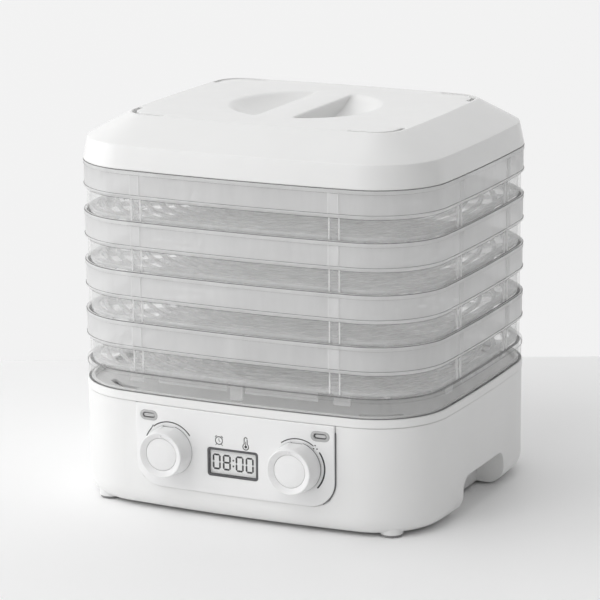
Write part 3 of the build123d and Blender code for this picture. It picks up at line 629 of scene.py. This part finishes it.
def vent_path(sx, sy):
    q = inset(quarter(60, 60, 60), LID_TOP_IN + 3.2)
    run = [(x, y) for x, y in q if x >= 71.7 and abs(y) >= 58.7]
    return [(sx * x, -sy * y) for x, y in run]


def build_lid():
    b = Build()
    z0, t = TOPS[1], 2.2
    T, S = LID_TOP, LID_SHOULDER
    ceil = T - t
    profile = [
        (LID_TOP_IN + 0.6, ceil),
        (LID_SHOULDER_IN + t - 0.3, S - t + 0.6),
        (2.85, z0 + 2.0),
        (4.4, z0 + 2.0),
        (4.4, z0 - 1.5),
        (2.2, z0 - 1.5),
        (2.2, z0),
        (0.0, z0),
        (LID_SHOULDER_IN, S),
        (LID_TOP_IN, T),
        (LID_TOP_IN + 1.4, T),
    ]
    radii = [0, 3.0, 0.0, 0.3, 0.4, 0.4, 0.15, 0.7, 1.3, 4.5, 0]
    prof = rounded(profile, radii, False, 6)
    b.sweep(prof, wrap=False)
    vents = [band_loop(vent_path(sx, sy), 1.7) for sx in (-1, 1) for sy in (-1, 1)]
    rs = (54.0**2 + 15.0**2) / 30.0
    zc = T - 15.0 + rs

    def bowl(z, extra=0.0):
        return sqrt(max((rs + extra) ** 2 - (zc - z) ** 2, 0.0))

    e, x0 = 1.5, 14.0
    tops, wall_tops = [], []
    for s in (-1, 1):
        loops = []
        for k in range(7):
            a = k / 6 * pi / 2
            dz = e * (1 - cos(a))
            z = T - dz
            loops.append((z, bowl(z) + 2.2 * (1 - sin(a)), x0 - e * (1 - sin(a)) + 0.02 * k))
        depth = e
        while True:
            depth += 0.9
            r = bowl(T - depth)
            if r < x0 + 2.0:
                break
            loops.append((T - depth, r, x0 + 0.12 + 0.02 * (depth - e)))
        rows = [[(x, y, z) for x, y in d_loop(R, xx, 3.2, s)] for z, R, xx in loops]
        b.grid(rows, True, False)
        b.cap(rows[-1])
        tops.append([(x, y) for x, y, _ in rows[0]])
        under = []
        z = ceil
        while True:
            r = bowl(z, t)
            if r < x0 - t + 2.0:
                break
            under.append((z, r))
            z -= 1.4
        rows = [[(x, y, zz) for x, y in d_loop(r, x0 - t, 4.0, s)] for zz, r in under]
        b.grid(rows, True, False)
        b.cap(rows[-1])
        wall_tops.append([(x, y) for x, y, _ in rows[0]])
    # flat top, its vents and the ceiling
    lip = 0.35
    b.fill(inset(STATIONS, LID_TOP_IN + 1.4), tops + [grow(v, lip) for v in vents], lambda x, y: (x, y, T), 9.0)
    b.fill(inset(STATIONS, LID_TOP_IN + 0.6), wall_tops + vents, lambda x, y: (x, y, ceil), 12.0)
    for v in vents:
        rows = []
        for k in range(4):
            a = k / 3 * pi / 2
            rows.append([(x, y, T - lip * (1 - cos(a))) for x, y in grow(v, lip * (1 - sin(a)))])
        rows.append([(x, y, ceil) for x, y in v])
        b.grid(rows, True, False)
    return b.make("lid_shell", [MAT["lid_white"]], "lid", ["lid", "lid_top"], 28.0)


build_lid()

# ---------------------------------------------------------------- trays
HUB_R = 17.0
RIB_ANGLES = [0.0, 19.5, 34.0, 47.0, 61.0, 75.5, 90.0]


def arcs_inside(r, limit, n=720):
    """Angle ranges where the circle of radius r is at least limit inside the outline."""
    ang = [2 * pi * i / n for i in range(n)]
    ok = [depth_in(r * cos(a), r * sin(a)) > limit for a in ang]
    if all(ok):
        return None
    if not any(ok):
        return []

    def edge(a, c):
        ia = depth_in(r * cos(a), r * sin(a)) > limit
        for _ in range(18):
            mid = (a + c) / 2
            if (depth_in(r * cos(mid), r * sin(mid)) > limit) == ia:
                a = mid
            else:
                c = mid
        return (a + c) / 2

    runs = []
    start = next(i for i in range(n) if not ok[i])
    i = 0
    while i < n:
        k = (start + i) % n
        if ok[k]:
            a0 = edge(2 * pi * (start + i - 1) / n, 2 * pi * (start + i) / n)
            j = i
            while ok[(start + j) % n]:
                j += 1
            a1 = edge(2 * pi * (start + j - 1) / n, 2 * pi * (start + j) / n)
            runs.append((a0, a1))
            i = j
        else:
            i += 1
    return runs


def tray_floor(b, bottom, mat):
    f0, f1, r0 = bottom + 1.6, bottom + 4.0, bottom - 1.4
    k = 0
    while HUB_R + 10.0 * (k + 1) < 172:
        r = HUB_R + 10.0 * (k + 1)
        sec = rounded([(r - 3.2, f0), (r, f0), (r, f1), (r - 3.2, f1)], 0.7, True, 3)
        runs = arcs_inside(r - 1.6, 9.0)
        if runs is None:
            n = max(48, int(r * 2.2))
            ang = [2 * pi * i / n for i in range(n)]
            b.grid([[(q * cos(a), q * sin(a), z) for a in ang] for q, z in sec], True, True, mat)
        else:
            for a0, a1 in runs:
                if (a1 - a0) * r < 3.0:
                    continue
                n = max(4, int((a1 - a0) * r / 4.0))
                ang = [a0 + (a1 - a0) * i / n for i in range(n + 1)]
                rows = [[(q * cos(a), q * sin(a), z) for a in ang] for q, z in sec]
                b.grid(rows, False, True, mat)
                b.cap([q[0] for q in rows], mat)
                b.cap([q[-1] for q in rows], mat)
        k += 1
    angles = sorted({a for g in RIB_ANGLES for a in (g, -g, 180 - g, g - 180)})
    angles = [a for a in angles if a > -180 + 1e-6]
    for deg in angles:
        a = radians(deg - 90)
        c, s = cos(a), sin(a)
        r_out = 60.0
        while depth_in(r_out * c, r_out * s) > 8.4:
            r_out += 0.5
        sec = rounded([(-1.3, r0), (1.3, r0), (1.3, f0 + 0.25), (-1.3, f0 + 0.25)], 0.45, True, 2)
        ends = [HUB_R - 1.0, HUB_R + 20, (HUB_R + r_out) / 2, r_out]
        rows = [[(d * c - w * s, d * s + w * c, z) for d in ends] for w, z in sec]
        b.grid(rows, False, True, mat)
        b.cap([q[0] for q in rows], mat)
        b.cap([q[-1] for q in rows], mat)
    hub = rounded([(0.0, r0), (HUB_R, r0), (HUB_R, f1), (0.0, f1)], [0, 0.7, 0.7, 0], False, 4)
    hub = hub[:-1] + [(4.2, f1), (3.8, f1 - 0.45), (0.0, f1 - 0.5)]
    b.lathe(hub, lambda x, y, h: (x, y, h), 60, False, mat=mat)


def tray_skirt(b, bottom, mat):
    f0 = bottom + 1.9
    for x0, x1, dz in [(-4.7, 4.7, -11.3), (-62, -7, -5.5), (7, 62, -5.5), (-86, -74, -6.5), (74, 86, -6.5)]:
        for back in (False, True):
            n = max(2, int(abs(x1 - x0) / 5))
            sec = rounded([(5.4, bottom + dz), (7.0, bottom + dz), (7.0, f0), (5.4, f0)], [0.5, 0.5, 0.2, 0.2], True, 3)
            b.sweep(sec, front_run(x0, x1, n, back), False, True, mat)
    for y0, y1, dz in [(-56, -46, -6.5), (46, 56, -6.5), (-28, 28, -5.5)]:
        for left in (False, True):
            n = max(2, int(abs(y1 - y0) / 5))
            sec = rounded([(5.4, bottom + dz), (7.0, bottom + dz), (7.0, f0), (5.4, f0)], [0.5, 0.5, 0.2, 0.2], True, 3)
            b.sweep(sec, side_run(y0, y1, n, left), False, True, mat)


def build_tray(k):
    T = TOPS[k]
    bottom, wide = T - PITCH - 1.5, T - 19.3
    b = Build()
    profile = [
        (2.2, bottom), (2.2, wide - 1.4), (0.0, wide + 0.6), (0.0, wide + 1.8), (0.5, wide + 1.9), (0.5, T - 3.3),
        (0.0, T - 3.2), (0.0, T), (1.8, T), (1.8, T - 1.5), (4.8, T - 1.5), (4.8, T - 4.5), (2.2, T - 4.5),
        (2.2, wide + 0.2), (4.2, wide + 0.2), (4.2, bottom),
    ]
    radii = [0.4, 0.7, 0.7, 0.1, 0.1, 0.1, 0.1, 0.45, 0.35, 0.2, 0.5, 0.3, 0.3, 0.5, 0.5, 0.4]
    prof = rounded(profile, radii, True, 4)

    def skin(z, u):
        """0 clear, 1 frosted, 3 dark line of painted shade in the joints and gaps, 4 bright line of painted highlight
        on the rim and the shelf edge.
        """
        if z < bottom + 0.35 or (wide + 1.75 < z < wide + 1.95 and u < 1) or (T - 3.35 < z < T - 3.15 and u < 1):
            return 3
        if abs(z - (T - 1.5)) < 0.25 and u > 1.9:
            return 3
        if z > T - 0.42 and u < 0.6:
            return 3
        if z > T - 3.15 and u < 0.6:
            return 4
        if wide - 1.55 < z < wide - 1.05 and u < 2.25:
            return 3
        if wide - 0.75 < z < wide + 0.35 and u < 2.25:
            return 4
        return 1 if z > wide - 1.6 and u < 1.95 else 0

    b.sweep(prof, mat=skin)
    runs = []
    for s in (-1, 1):
        for flip in (False, True):
            runs.append((front_run, *sorted((s * 72.0, s * 80.0)), flip))
            runs.append((side_run, *sorted((s * 40.0, s * 47.0)), flip))
    for run, x0, x1, flip in runs:
        strip = run(x0 + 0.7, x1 - 0.7, 3, flip)
        b.sweep(rounded([(0.12, wide + 2.0), (0.9, wide + 2.0), (0.9, T - 3.4), (0.12, T - 3.4)], 0.2, True, 2), strip, False, True, 1)
        b.sweep(rounded([(1.9, bottom + 2.0), (3.2, bottom + 2.0), (3.2, wide - 0.8), (1.9, wide - 0.8)], 0.25, True, 2), strip, False, True, 0)
        # a bright strip on each edge of every pilaster: painted highlight
        for c in (x0 + 0.35, x1 - 0.35):
            line = run(c - 0.34, c + 0.34, 1, flip)
            b.sweep(rounded([(0.02, wide + 1.9), (0.9, wide + 1.9), (0.9, T - 3.3), (0.02, T - 3.3)], 0.2, True, 2), line, False, True, 4)
            b.sweep(rounded([(1.8, bottom + 1.9), (3.2, bottom + 1.9), (3.2, wide - 0.7), (1.8, wide - 0.7)], 0.25, True, 2), line, False, True, 4)
    tray_skirt(b, bottom, 2)
    b.sweep(rounded([(3.8, bottom + 1.6), (9.5, bottom + 1.6), (9.5, bottom + 4.0), (3.8, bottom + 4.0)], 0.5, True, 3), mat=2)
    # materials 3 and 4 are painted: a dark line of painted shade and a bright line of painted highlight
    mats = [MAT["tray_clear"], MAT["tray_frost"], MAT["tray_grid"], MAT["tray_edge"], MAT["tray_bead"]]
    b.make(f"tray_{k}_wall_shell", mats, f"tray_{k}", [f"tray_{k}_wall"], 30.0)
    b = Build()
    tray_floor(b, bottom, 0)
    b.make(f"tray_{k}_grid_shell", [MAT["tray_grid"]], f"tray_{k}", [f"tray_{k}_grid"], 30.0)


for k in (1, 2, 3, 4):
    build_tray(k)


def build_spacer():
    b = Build()
    T, z0 = RING_TOP, RING_Z0
    profile = [
        (0.7, z0), (0.7, T - 3.3), (0.0, T - 3.2), (0.0, T), (1.8, T), (1.8, T - 1.5), (4.8, T - 1.5), (4.8, T - 4.5),
        (2.7, T - 4.5), (2.7, z0),
    ]

    # 1 draws dark lines of painted shade at the foot, under the rim and at the ledge
    def skin(z, u):
        if z < z0 + 0.3 or (T - 3.35 < z < T - 3.15 and u < 1) or (abs(z - (T - 1.5)) < 0.25 and u > 1.9):
            return 1
        return 0

    b.sweep(rounded(profile, [0.3, 0.1, 0.1, 0.45, 0.35, 0.2, 0.5, 0.3, 0.3, 0.3], True, 3), mat=skin)
    return b.make("spacer_ring_shell", [MAT["ring_clear"], MAT["tray_edge"]], "spacer_ring", ["spacer_ring"], 30.0)


build_spacer()


# ---------------------------------------------------------------- control panel
def on_panel(off):
    """Maps (x, z, depth) to the bowed panel face, off in front of the stack outline."""
    return lambda x, z, d=0.0: (x, front_y(x, off - d), z)


def flat_lift(y):
    return lambda x, z, d=0.0: (x, y + d, z)


def dense(loop, step=4.0):
    """Adds points along the long edges of a loop, so that it bends with the panel."""
    out = []
    n = len(loop)
    for i in range(n):
        a, c = loop[i], loop[(i + 1) % n]
        d = hypot(c[0] - a[0], c[1] - a[1])
        k = max(1, int(d / step))
        out += [(a[0] + (c[0] - a[0]) * j / k, a[1] + (c[1] - a[1]) * j / k) for j in range(k)]
    return out


PANEL_TOP = BASE_LINE - 0.3
panel_outline = dense(rounded([(-77.0, 20.5), (77.0, 20.5), (77.0, PANEL_TOP), (-77.0, PANEL_TOP)], [19.0, 19.0, 0.8, 0.8], True, 14))


def build_panel():
    b = Build()
    holes = [circle_loop(s * KNOB_X, KNOB_Z, 3.8, 32) for s in (-1, 1)]
    holes += [pill_loop(s * PILL_X, PILL_Z, 14.1, 7.3) for s in (-1, 1)]
    holes += [dense(rect_loop(0, DISPLAY_Z, 39.4, 20.8, 2.2))]
    b.plate(panel_outline, holes, on_panel(PANEL_PROUD), 0.7, 0.2, PANEL_PROUD - PANEL_BACK, 6.0)
    return b.make("control_panel_face", [MAT["panel_white"]], "base", ["control_panel"], 30.0)


build_panel()


def arc_path(cx, cz, r, a0, a1):
    n = max(6, int(abs(a1 - a0) / 3))
    return [(cx + r * cos(radians(a)), cz + r * sin(radians(a))) for a in np.linspace(a0, a1, n)]


def build_marks():
    """The printed marks: dial arcs, dots, a clock and a thermometer sign."""
    b = Build()
    lift = on_panel(PANEL_PROUD + 0.05)
    strokes = []

    def stroke(path, w):
        strokes.append(band_loop(path, w / 2, 3))

    stroke(arc_path(-KNOB_X, KNOB_Z, 20.3, 38, 129), 0.8)
    stroke(arc_path(-KNOB_X, KNOB_Z, 20.3, 137, 157), 0.8)
    stroke([(-KNOB_X - 14.6, KNOB_Z + 14.3), (-KNOB_X - 13.3, KNOB_Z + 16.6)], 0.6)
    stroke(arc_path(KNOB_X, KNOB_Z, 20.0, 54, 127), 0.75)
    stroke(arc_path(KNOB_X, KNOB_Z, 20.2, -42, 35), 1.15)
    for x, z in ((62.9, 64.9), (61.8, 62.6), (64.3, 62.5)):
        strokes.append(circle_loop(x, z, 0.52, 14))
    cx, cz = -10.4, 60.1
    ring = arc_path(cx, cz, 2.75, 0, 356)
    stroke(ring, 0.62)
    stroke([(cx, cz + 1.5), (cx, cz - 0.1), (cx + 0.9, cz - 0.6)], 0.42)
    for s in (-1, 1):
        stroke(arc_path(cx, cz, 3.75, 90 + s * 28, 90 + s * 52), 0.55)
        stroke([(cx + s * 1.9, cz - 2.5), (cx + s * 2.6, cz - 3.4)], 0.45)
    cx, cz = 10.4, 57.9
    w = 1.15
    top = [(cx + w * cos(a), cz + 5.6 + w * sin(a)) for a in np.linspace(0, pi, 9)]
    bulb = [(cx + 2.2 * cos(a), cz + 2.2 * sin(a)) for a in np.linspace(radians(122), radians(418), 26)]
    body = top + bulb
    stroke(body + [body[0]], 0.65)
    strokes.append(circle_loop(cx, cz, 1.05, 18))
    stroke([(cx, cz + 0.6), (cx, cz + 3.6)], 0.5)
    for loop in strokes:
        b.fill(loop, [], lambda x, z: lift(x, z, 0.0))
        b.grid([[lift(x, z, 0.0) for x, z in loop], [lift(x, z, 0.09) for x, z in loop]], True, False)
        b.fill(loop, [], lambda x, z: lift(x, z, 0.09))
    return b.make("panel_marks", [MAT["print_grey"]], "base", [], 30.0)


build_marks()


def build_painted_shade_groove():
    """A dark strip down the right edge of the fascia: painted shade standing in for the shadowed joint."""
    b = Build()
    lift = on_panel(0.5)
    path = [p for p in grow(panel_outline, 0.32) if p[0] > 68.0 and p[1] < PANEL_TOP - 0.8]
    path.sort(key=lambda p: atan2(p[1] - 60.0, p[0] - 20.0))
    loop = band_loop(path, 0.42, 3)
    b.fill(loop, [], lambda x, z: lift(x, z, 0.0))
    b.grid([[lift(x, z, 0.0) for x, z in loop], [lift(x, z, 0.6) for x, z in loop]], True, False)
    b.fill(loop, [], lambda x, z: lift(x, z, 0.6))
    return b.make("panel_joint_line", [MAT["dark_trim"]], "base", [], 30.0)


build_painted_shade_groove()


def build_display():
    y = front_y(0, PANEL_PROUD)
    b = Build()
    b.plate(rect_loop(0, DISPLAY_Z, 39.2, 20.6, 2.1), [rect_loop(0, DISPLAY_Z, 36.2, 17.6, 1.2)], flat_lift(y - 0.15), 0.35, 0.2, 1.35)
    b.make("display_frame", [MAT["dark_trim"]], "base", ["display_bezel"], 30.0)
    b = Build()
    b.plate(rect_loop(0, DISPLAY_Z, 36.1, 17.5, 1.15), [], flat_lift(y + 0.1), 0.25, 0.0, 0.9)
    b.make("display_window", [MAT["lens_clear"]], "base", ["display_lens"], 30.0)
    b = Build()
    b.plate(rect_loop(0, DISPLAY_Z, 35.9, 17.3, 0.6), [], flat_lift(y + 1.55), 0.1, 0.0, 2.05)
    b.make("lcd_glass", [MAT["lcd_grey"]], "base", ["lcd_panel"], 30.0)
    b = Build()
    lift = flat_lift(y + 1.45)
    sw, dw, dh = 1.25, 6.2, 11.4

    def seg(x0, z0, x1, z1):
        """One bar with pointed ends between two nodes of a digit."""
        d = Vector((x1 - x0, z1 - z0))
        ln = d.length
        d.normalize()
        n = Vector((-d.y, d.x))
        h, g = sw / 2, 0.16
        a = Vector((x0, z0)) + d * g
        c = Vector((x1, z1)) - d * g
        pts = [a, a + d * h - n * h, c - d * h - n * h, c, c - d * h + n * h, a + d * h + n * h]
        return [(p.x, p.y) for p in pts]

    bars = []
    segs = {"0": "abcdef", "8": "abcdefg"}
    zb, zt, zm = DISPLAY_Z - dh / 2 + sw / 2, DISPLAY_Z + dh / 2 - sw / 2, DISPLAY_Z
    for ch, x0 in (("0", -16.2), ("8", -8.3), ("0", 1.7), ("0", 9.5)):
        l, r = x0 + sw / 2, x0 + dw - sw / 2
        spans = {"a": (l, zt, r, zt), "b": (r, zt, r, zm), "c": (r, zm, r, zb), "d": (l, zb, r, zb), "e": (l, zm, l, zb), "f": (l, zt, l, zm), "g": (l, zm, r, zm)}
        bars += [seg(*spans[k]) for k in segs[ch]]
    for dz in (-2.1, 2.1):
        bars.append(rect_loop(-0.15, DISPLAY_Z + dz, 1.15, 1.25, 0.2, 2))
    for loop in bars:
        b.fill(loop, [], lambda x, z: lift(x, z, 0.0))
        b.grid([[lift(x, z, 0.0) for x, z in loop], [lift(x, z, 0.15) for x, z in loop]], True, False)
        b.fill(loop, [], lambda x, z: lift(x, z, 0.15))
    b.make("lcd_digits", [MAT["lcd_ink"]], "base", [], 30.0)


build_display()


def build_pills():
    for s, name in ((-1, "start"), (1, "mode")):
        b = Build()
        b.plate(pill_loop(s * PILL_X, PILL_Z, 14.0, 7.2, 14), [pill_loop(s * PILL_X, PILL_Z, 9.8, 3.9, 12)], on_panel(PANEL_PROUD + 0.25), 0.45, 0.35, 3.4)
        b.make(f"{name}_bezel_ring", [MAT["bezel_grey"]], "base", [f"{name}_button_bezel"], 30.0)
        b = Build()
        y = front_y(PILL_X, PANEL_PROUD)
        b.plate(pill_loop(s * PILL_X, PILL_Z, 8.3, 2.4, 12), [], flat_lift(y + 0.7), 0.4, 0.0, 4.2)
        # dark collar round the cap: painted shade standing in for the shadowed gap between cap and bezel
        b.plate(pill_loop(s * PILL_X, PILL_Z, 9.5, 3.6, 12), [], flat_lift(y + 1.05), 0.1, 0.0, 1.5, 0.0, 1)
        lo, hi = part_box(f"{name}_button")
        y_end = hi.y * 1000.0 - YS
        b.plate(pill_loop(s * PILL_X, PILL_Z, 12.0, 6.0, 12), [], flat_lift(-116.7), 0.2, 0.0, 1.0)
        n = 20
        prof = [(0.0, 0.0), (1.6, 0.0), (1.6, y_end + 116.0 - 0.2), (1.4, y_end + 116.0), (0.0, y_end + 116.0)]
        b.lathe(prof, lambda x, z, h: (s * PILL_X + x, -116.0 + h, PILL_Z + z), n)
        b.make(f"{name}_button_cap", [MAT["button_grey"], MAT["dark_trim"]], f"{name}_button", [f"{name}_button"], 30.0)


build_pills()


def build_knobs():
    y0 = front_y(KNOB_X, PANEL_PROUD)
    for s, name in ((-1, "timer"), (1, "temperature")):
        place = lambda x, z, h: (s * KNOB_X + x, y0 - h, KNOB_Z + z)
        b = Build()
        profile = [
            (0.0, 10.4), (3.03, 10.4), (3.03, 0.8), (5.2, 0.8), (5.2, 10.4), (15.0, 10.4), (16.2, -0.3), (17.6, -0.3),
            (17.9, 0.2), (17.83, 0.95), (16.6, 14.5), (15.9, KNOB_H), (12.3, 13.4), (11.9, 13.2), (11.9, 11.9), (0.0, 11.9),
        ]
        radii = [0, 0, 0, 0, 0.4, 0.6, 0.2, 0.2, 0.3, 0.0, 1.0, 0.55, 0.5, 0.2, 0.1, 0]
        prof = rounded(profile, radii, False, 5)
        fine = []
        for a, c in zip(prof, prof[1:]):
            fine.append(a)
            if hypot(c[0] - a[0], c[1] - a[1]) > 6 and a[0] > 16:
                fine += [(a[0] + (c[0] - a[0]) * q / 6, a[1] + (c[1] - a[1]) * q / 6) for q in range(1, 6)]
        fine.append(prof[-1])
        edge = asin(4.5 / 17.4)
        ang = [2 * pi * i / 120 for i in range(120)]
        ang = [a for a in ang if abs(a - pi / 2) > edge + 0.01]
        ang += [pi / 2 + edge * q for q in (-1.0, -0.985, -0.6, -0.2, 0.2, 0.6, 0.985, 1.0)]
        ang.sort()

        def radius(r, h, a):
            if r > 16.5 and abs(a - pi / 2) < edge * 0.99:
                return min(r, 16.75 / cos(a - pi / 2))
            return r

        # the foot of the skirt is painted dark: painted shade standing in for the shadow in the joint to the panel
        shade_foot_faces = [1 if r0 > 16.5 and r1 > 16.5 and max(h0, h1) < 1.0 else 0 for (r0, h0), (r1, h1) in zip(fine, fine[1:])]
        b.lathe(fine, place, angles=ang, radius=radius, mat=shade_foot_faces)
        # raised pointer line on the face ring
        b.add(*box_faces(lambda x, z, h: place(x, z, h), -0.45, 0.45, 13.2, 15.4, 14.2, 15.05))
        b.make(f"{name}_knob_shell", [MAT["knob_white"], MAT["dark_trim"]], f"{name}_knob", [f"{name}_knob"], 35.0)
        b = Build()
        cap = rounded([(0.0, 11.9), (11.7, 11.9), (11.7, 13.2), (6.0, 13.85), (0.0, 13.95)], [0, 0.1, 0.5, 3.0, 0], False, 5)
        b.lathe(cap, place, 96)
        b.make(f"{name}_knob_disc", [MAT["knob_cap"]], f"{name}_knob", [f"{name}_knob_cap"], 35.0)


def box_faces(place, x0, x1, z0, z1, h0, h1):
    v = [place(x, z, h) for h in (h0, h1) for x, z in ((x0, z0), (x1, z0), (x1, z1), (x0, z1))]
    f = [(0, 1, 2, 3), (4, 5, 6, 7), (0, 1, 5, 4), (1, 2, 6, 5), (2, 3, 7, 6), (3, 0, 4, 7)]
    return v, f


build_knobs()

# ---------------------------------------------------------------- floor, backdrop, light, camera
def stage_material(name, color, rough, glow=0.0):
    m, nt, bsdf, out, co = new_material(name)
    n = noise(nt, co, 3.0, 4.0, 0.5)
    a, b = tuple(c * 0.995 for c in color), tuple(min(1.0, c * 1.004) for c in color)
    nt.links.new(mixed(nt, ranged(nt, n, 0.0, 1.0), a, b), bsdf.inputs["Base Color"])
    bsdf.inputs["Roughness"].default_value = rough
    bsdf.inputs["Specular IOR Level"].default_value = 0.25
    if glow:
        bsdf.inputs["Emission Color"].default_value = (1.0, 1.0, 1.0, 1.0)
        bsdf.inputs["Emission Strength"].default_value = glow
    return m


CAM_YAW, CAM_PITCH, CAM_ROLL = 0.444517, 0.240165, -0.0067773
CAM_POS = Vector((0.9142, -1.9307 + YS / 1000.0, 0.6577))
sy_, cy_ = sin(CAM_YAW), cos(CAM_YAW)
away = Vector((-sy_, cy_, 0.0))  # level direction the camera looks along
side = Vector((cy_, sy_, 0.0))


def stage_sheet(name, corners, mat):
    me = bpy.data.meshes.new(name)
    me.from_pydata([tuple(c) for c in corners], [], [(0, 1, 2, 3)])
    me.materials.append(mat)
    ob = bpy.data.objects.new(name, me)
    bpy.context.scene.collection.objects.link(ob)
    return ob


foot = Vector((CAM_POS.x, CAM_POS.y, 0.0))
edge_d = 2.478
near, far = foot - away * 4.0, foot + away * edge_d
floor = stage_sheet("floor", [near - side * 6, near + side * 6, far + side * 6, far - side * 6], stage_material("floor_pale", (0.965, 0.965, 0.965), 0.55))
wall_at = foot + away * (edge_d + 3.1)
wall = stage_sheet("backdrop", [wall_at - side * 15 - Vector((0, 0, 5.5)), wall_at + side * 15 - Vector((0, 0, 5.5)), wall_at + side * 15 + Vector((0, 0, 8.6)), wall_at - side * 15 + Vector((0, 0, 8.6))], stage_material("backdrop_pale", (0.2, 0.2, 0.2), 0.8, 0.765))


def area(name, pos, target, size, energy, size_y=None, color=(1, 1, 1)):
    d = bpy.data.lights.new(name, "AREA")
    d.shape = "RECTANGLE"
    d.size, d.size_y = size, size_y or size
    d.energy = energy
    d.color = color
    ob = bpy.data.objects.new(name, d)
    ob.location = pos
    ob.rotation_euler = (Vector(target) - Vector(pos)).to_track_quat("-Z", "Y").to_euler()
    bpy.context.scene.collection.objects.link(ob)
    return ob


C = Vector((0, 0, 0.14))
area("key", C + (-side * 1.7 - away * 1.1 + Vector((0, 0, 1.3))), C, 1.1, 2.9)
area("front_top", C + (-side * 0.9 - away * 1.3 + Vector((0, 0, 2.1))), C, 1.4, 13.0)
area("top", C + Vector((0, 0, 2.4)), C, 1.6, 2.2)
area("left_wall", C + (-side * 2.6 + away * 0.4 + Vector((0, 0, 0.9))), C, 2.4, 24.8)

world = bpy.data.worlds.new("studio")
world.use_nodes = True
wt = world.node_tree
even = wt.nodes["Background"]
even.inputs["Color"].default_value = (1.0, 1.0, 1.0, 1.0)
even.inputs["Strength"].default_value = 0.175
# the room is brighter towards the window side
wco = wt.nodes.new("ShaderNodeTexCoord")
dot = wt.nodes.new("ShaderNodeVectorMath")
dot.operation = "DOT_PRODUCT"
dot.inputs[1].default_value = tuple(-side)
wt.links.new(wco.outputs["Generated"], dot.inputs[0])
ramp = wt.nodes.new("ShaderNodeMapRange")
ramp.inputs["From Min"].default_value, ramp.inputs["From Max"].default_value = -0.9, 0.9
wt.links.new(dot.outputs["Value"], ramp.inputs["Value"])
sided = wt.nodes.new("ShaderNodeBackground")
sided.name = "Sided"
wt.links.new(ramp.outputs["Result"], sided.inputs["Color"])
sided.inputs["Strength"].default_value = 0.636
both = wt.nodes.new("ShaderNodeAddShader")
wt.links.new(even.outputs[0], both.inputs[0])
wt.links.new(sided.outputs[0], both.inputs[1])
wt.links.new(both.outputs[0], wt.nodes["World Output"].inputs["Surface"])
scene = bpy.context.scene
scene.world = world
scene.view_settings.view_transform = "Standard"
scene.cycles.transparent_max_bounces = 80
scene.cycles.max_bounces = 10

back = Vector((sy_ * cos(CAM_PITCH), -cy_ * cos(CAM_PITCH), sin(CAM_PITCH)))
right = side
up = back.cross(right)
r2 = cos(CAM_ROLL) * right + sin(CAM_ROLL) * up
u2 = -sin(CAM_ROLL) * right + cos(CAM_ROLL) * up
cam = bpy.data.cameras.new("camera")
cam.sensor_width = 36.0
cam.lens = 181.982
cam.clip_end = 50.0
co = bpy.data.objects.new("camera", cam)
m = Matrix((
    (r2.x, u2.x, back.x, CAM_POS.x),
    (r2.y, u2.y, back.y, CAM_POS.y),
    (r2.z, u2.z, back.z, CAM_POS.z),
    (0, 0, 0, 1),
))
co.matrix_world = m
scene.collection.objects.link(co)
scene.camera = co

bpy.context.view_layer.update()
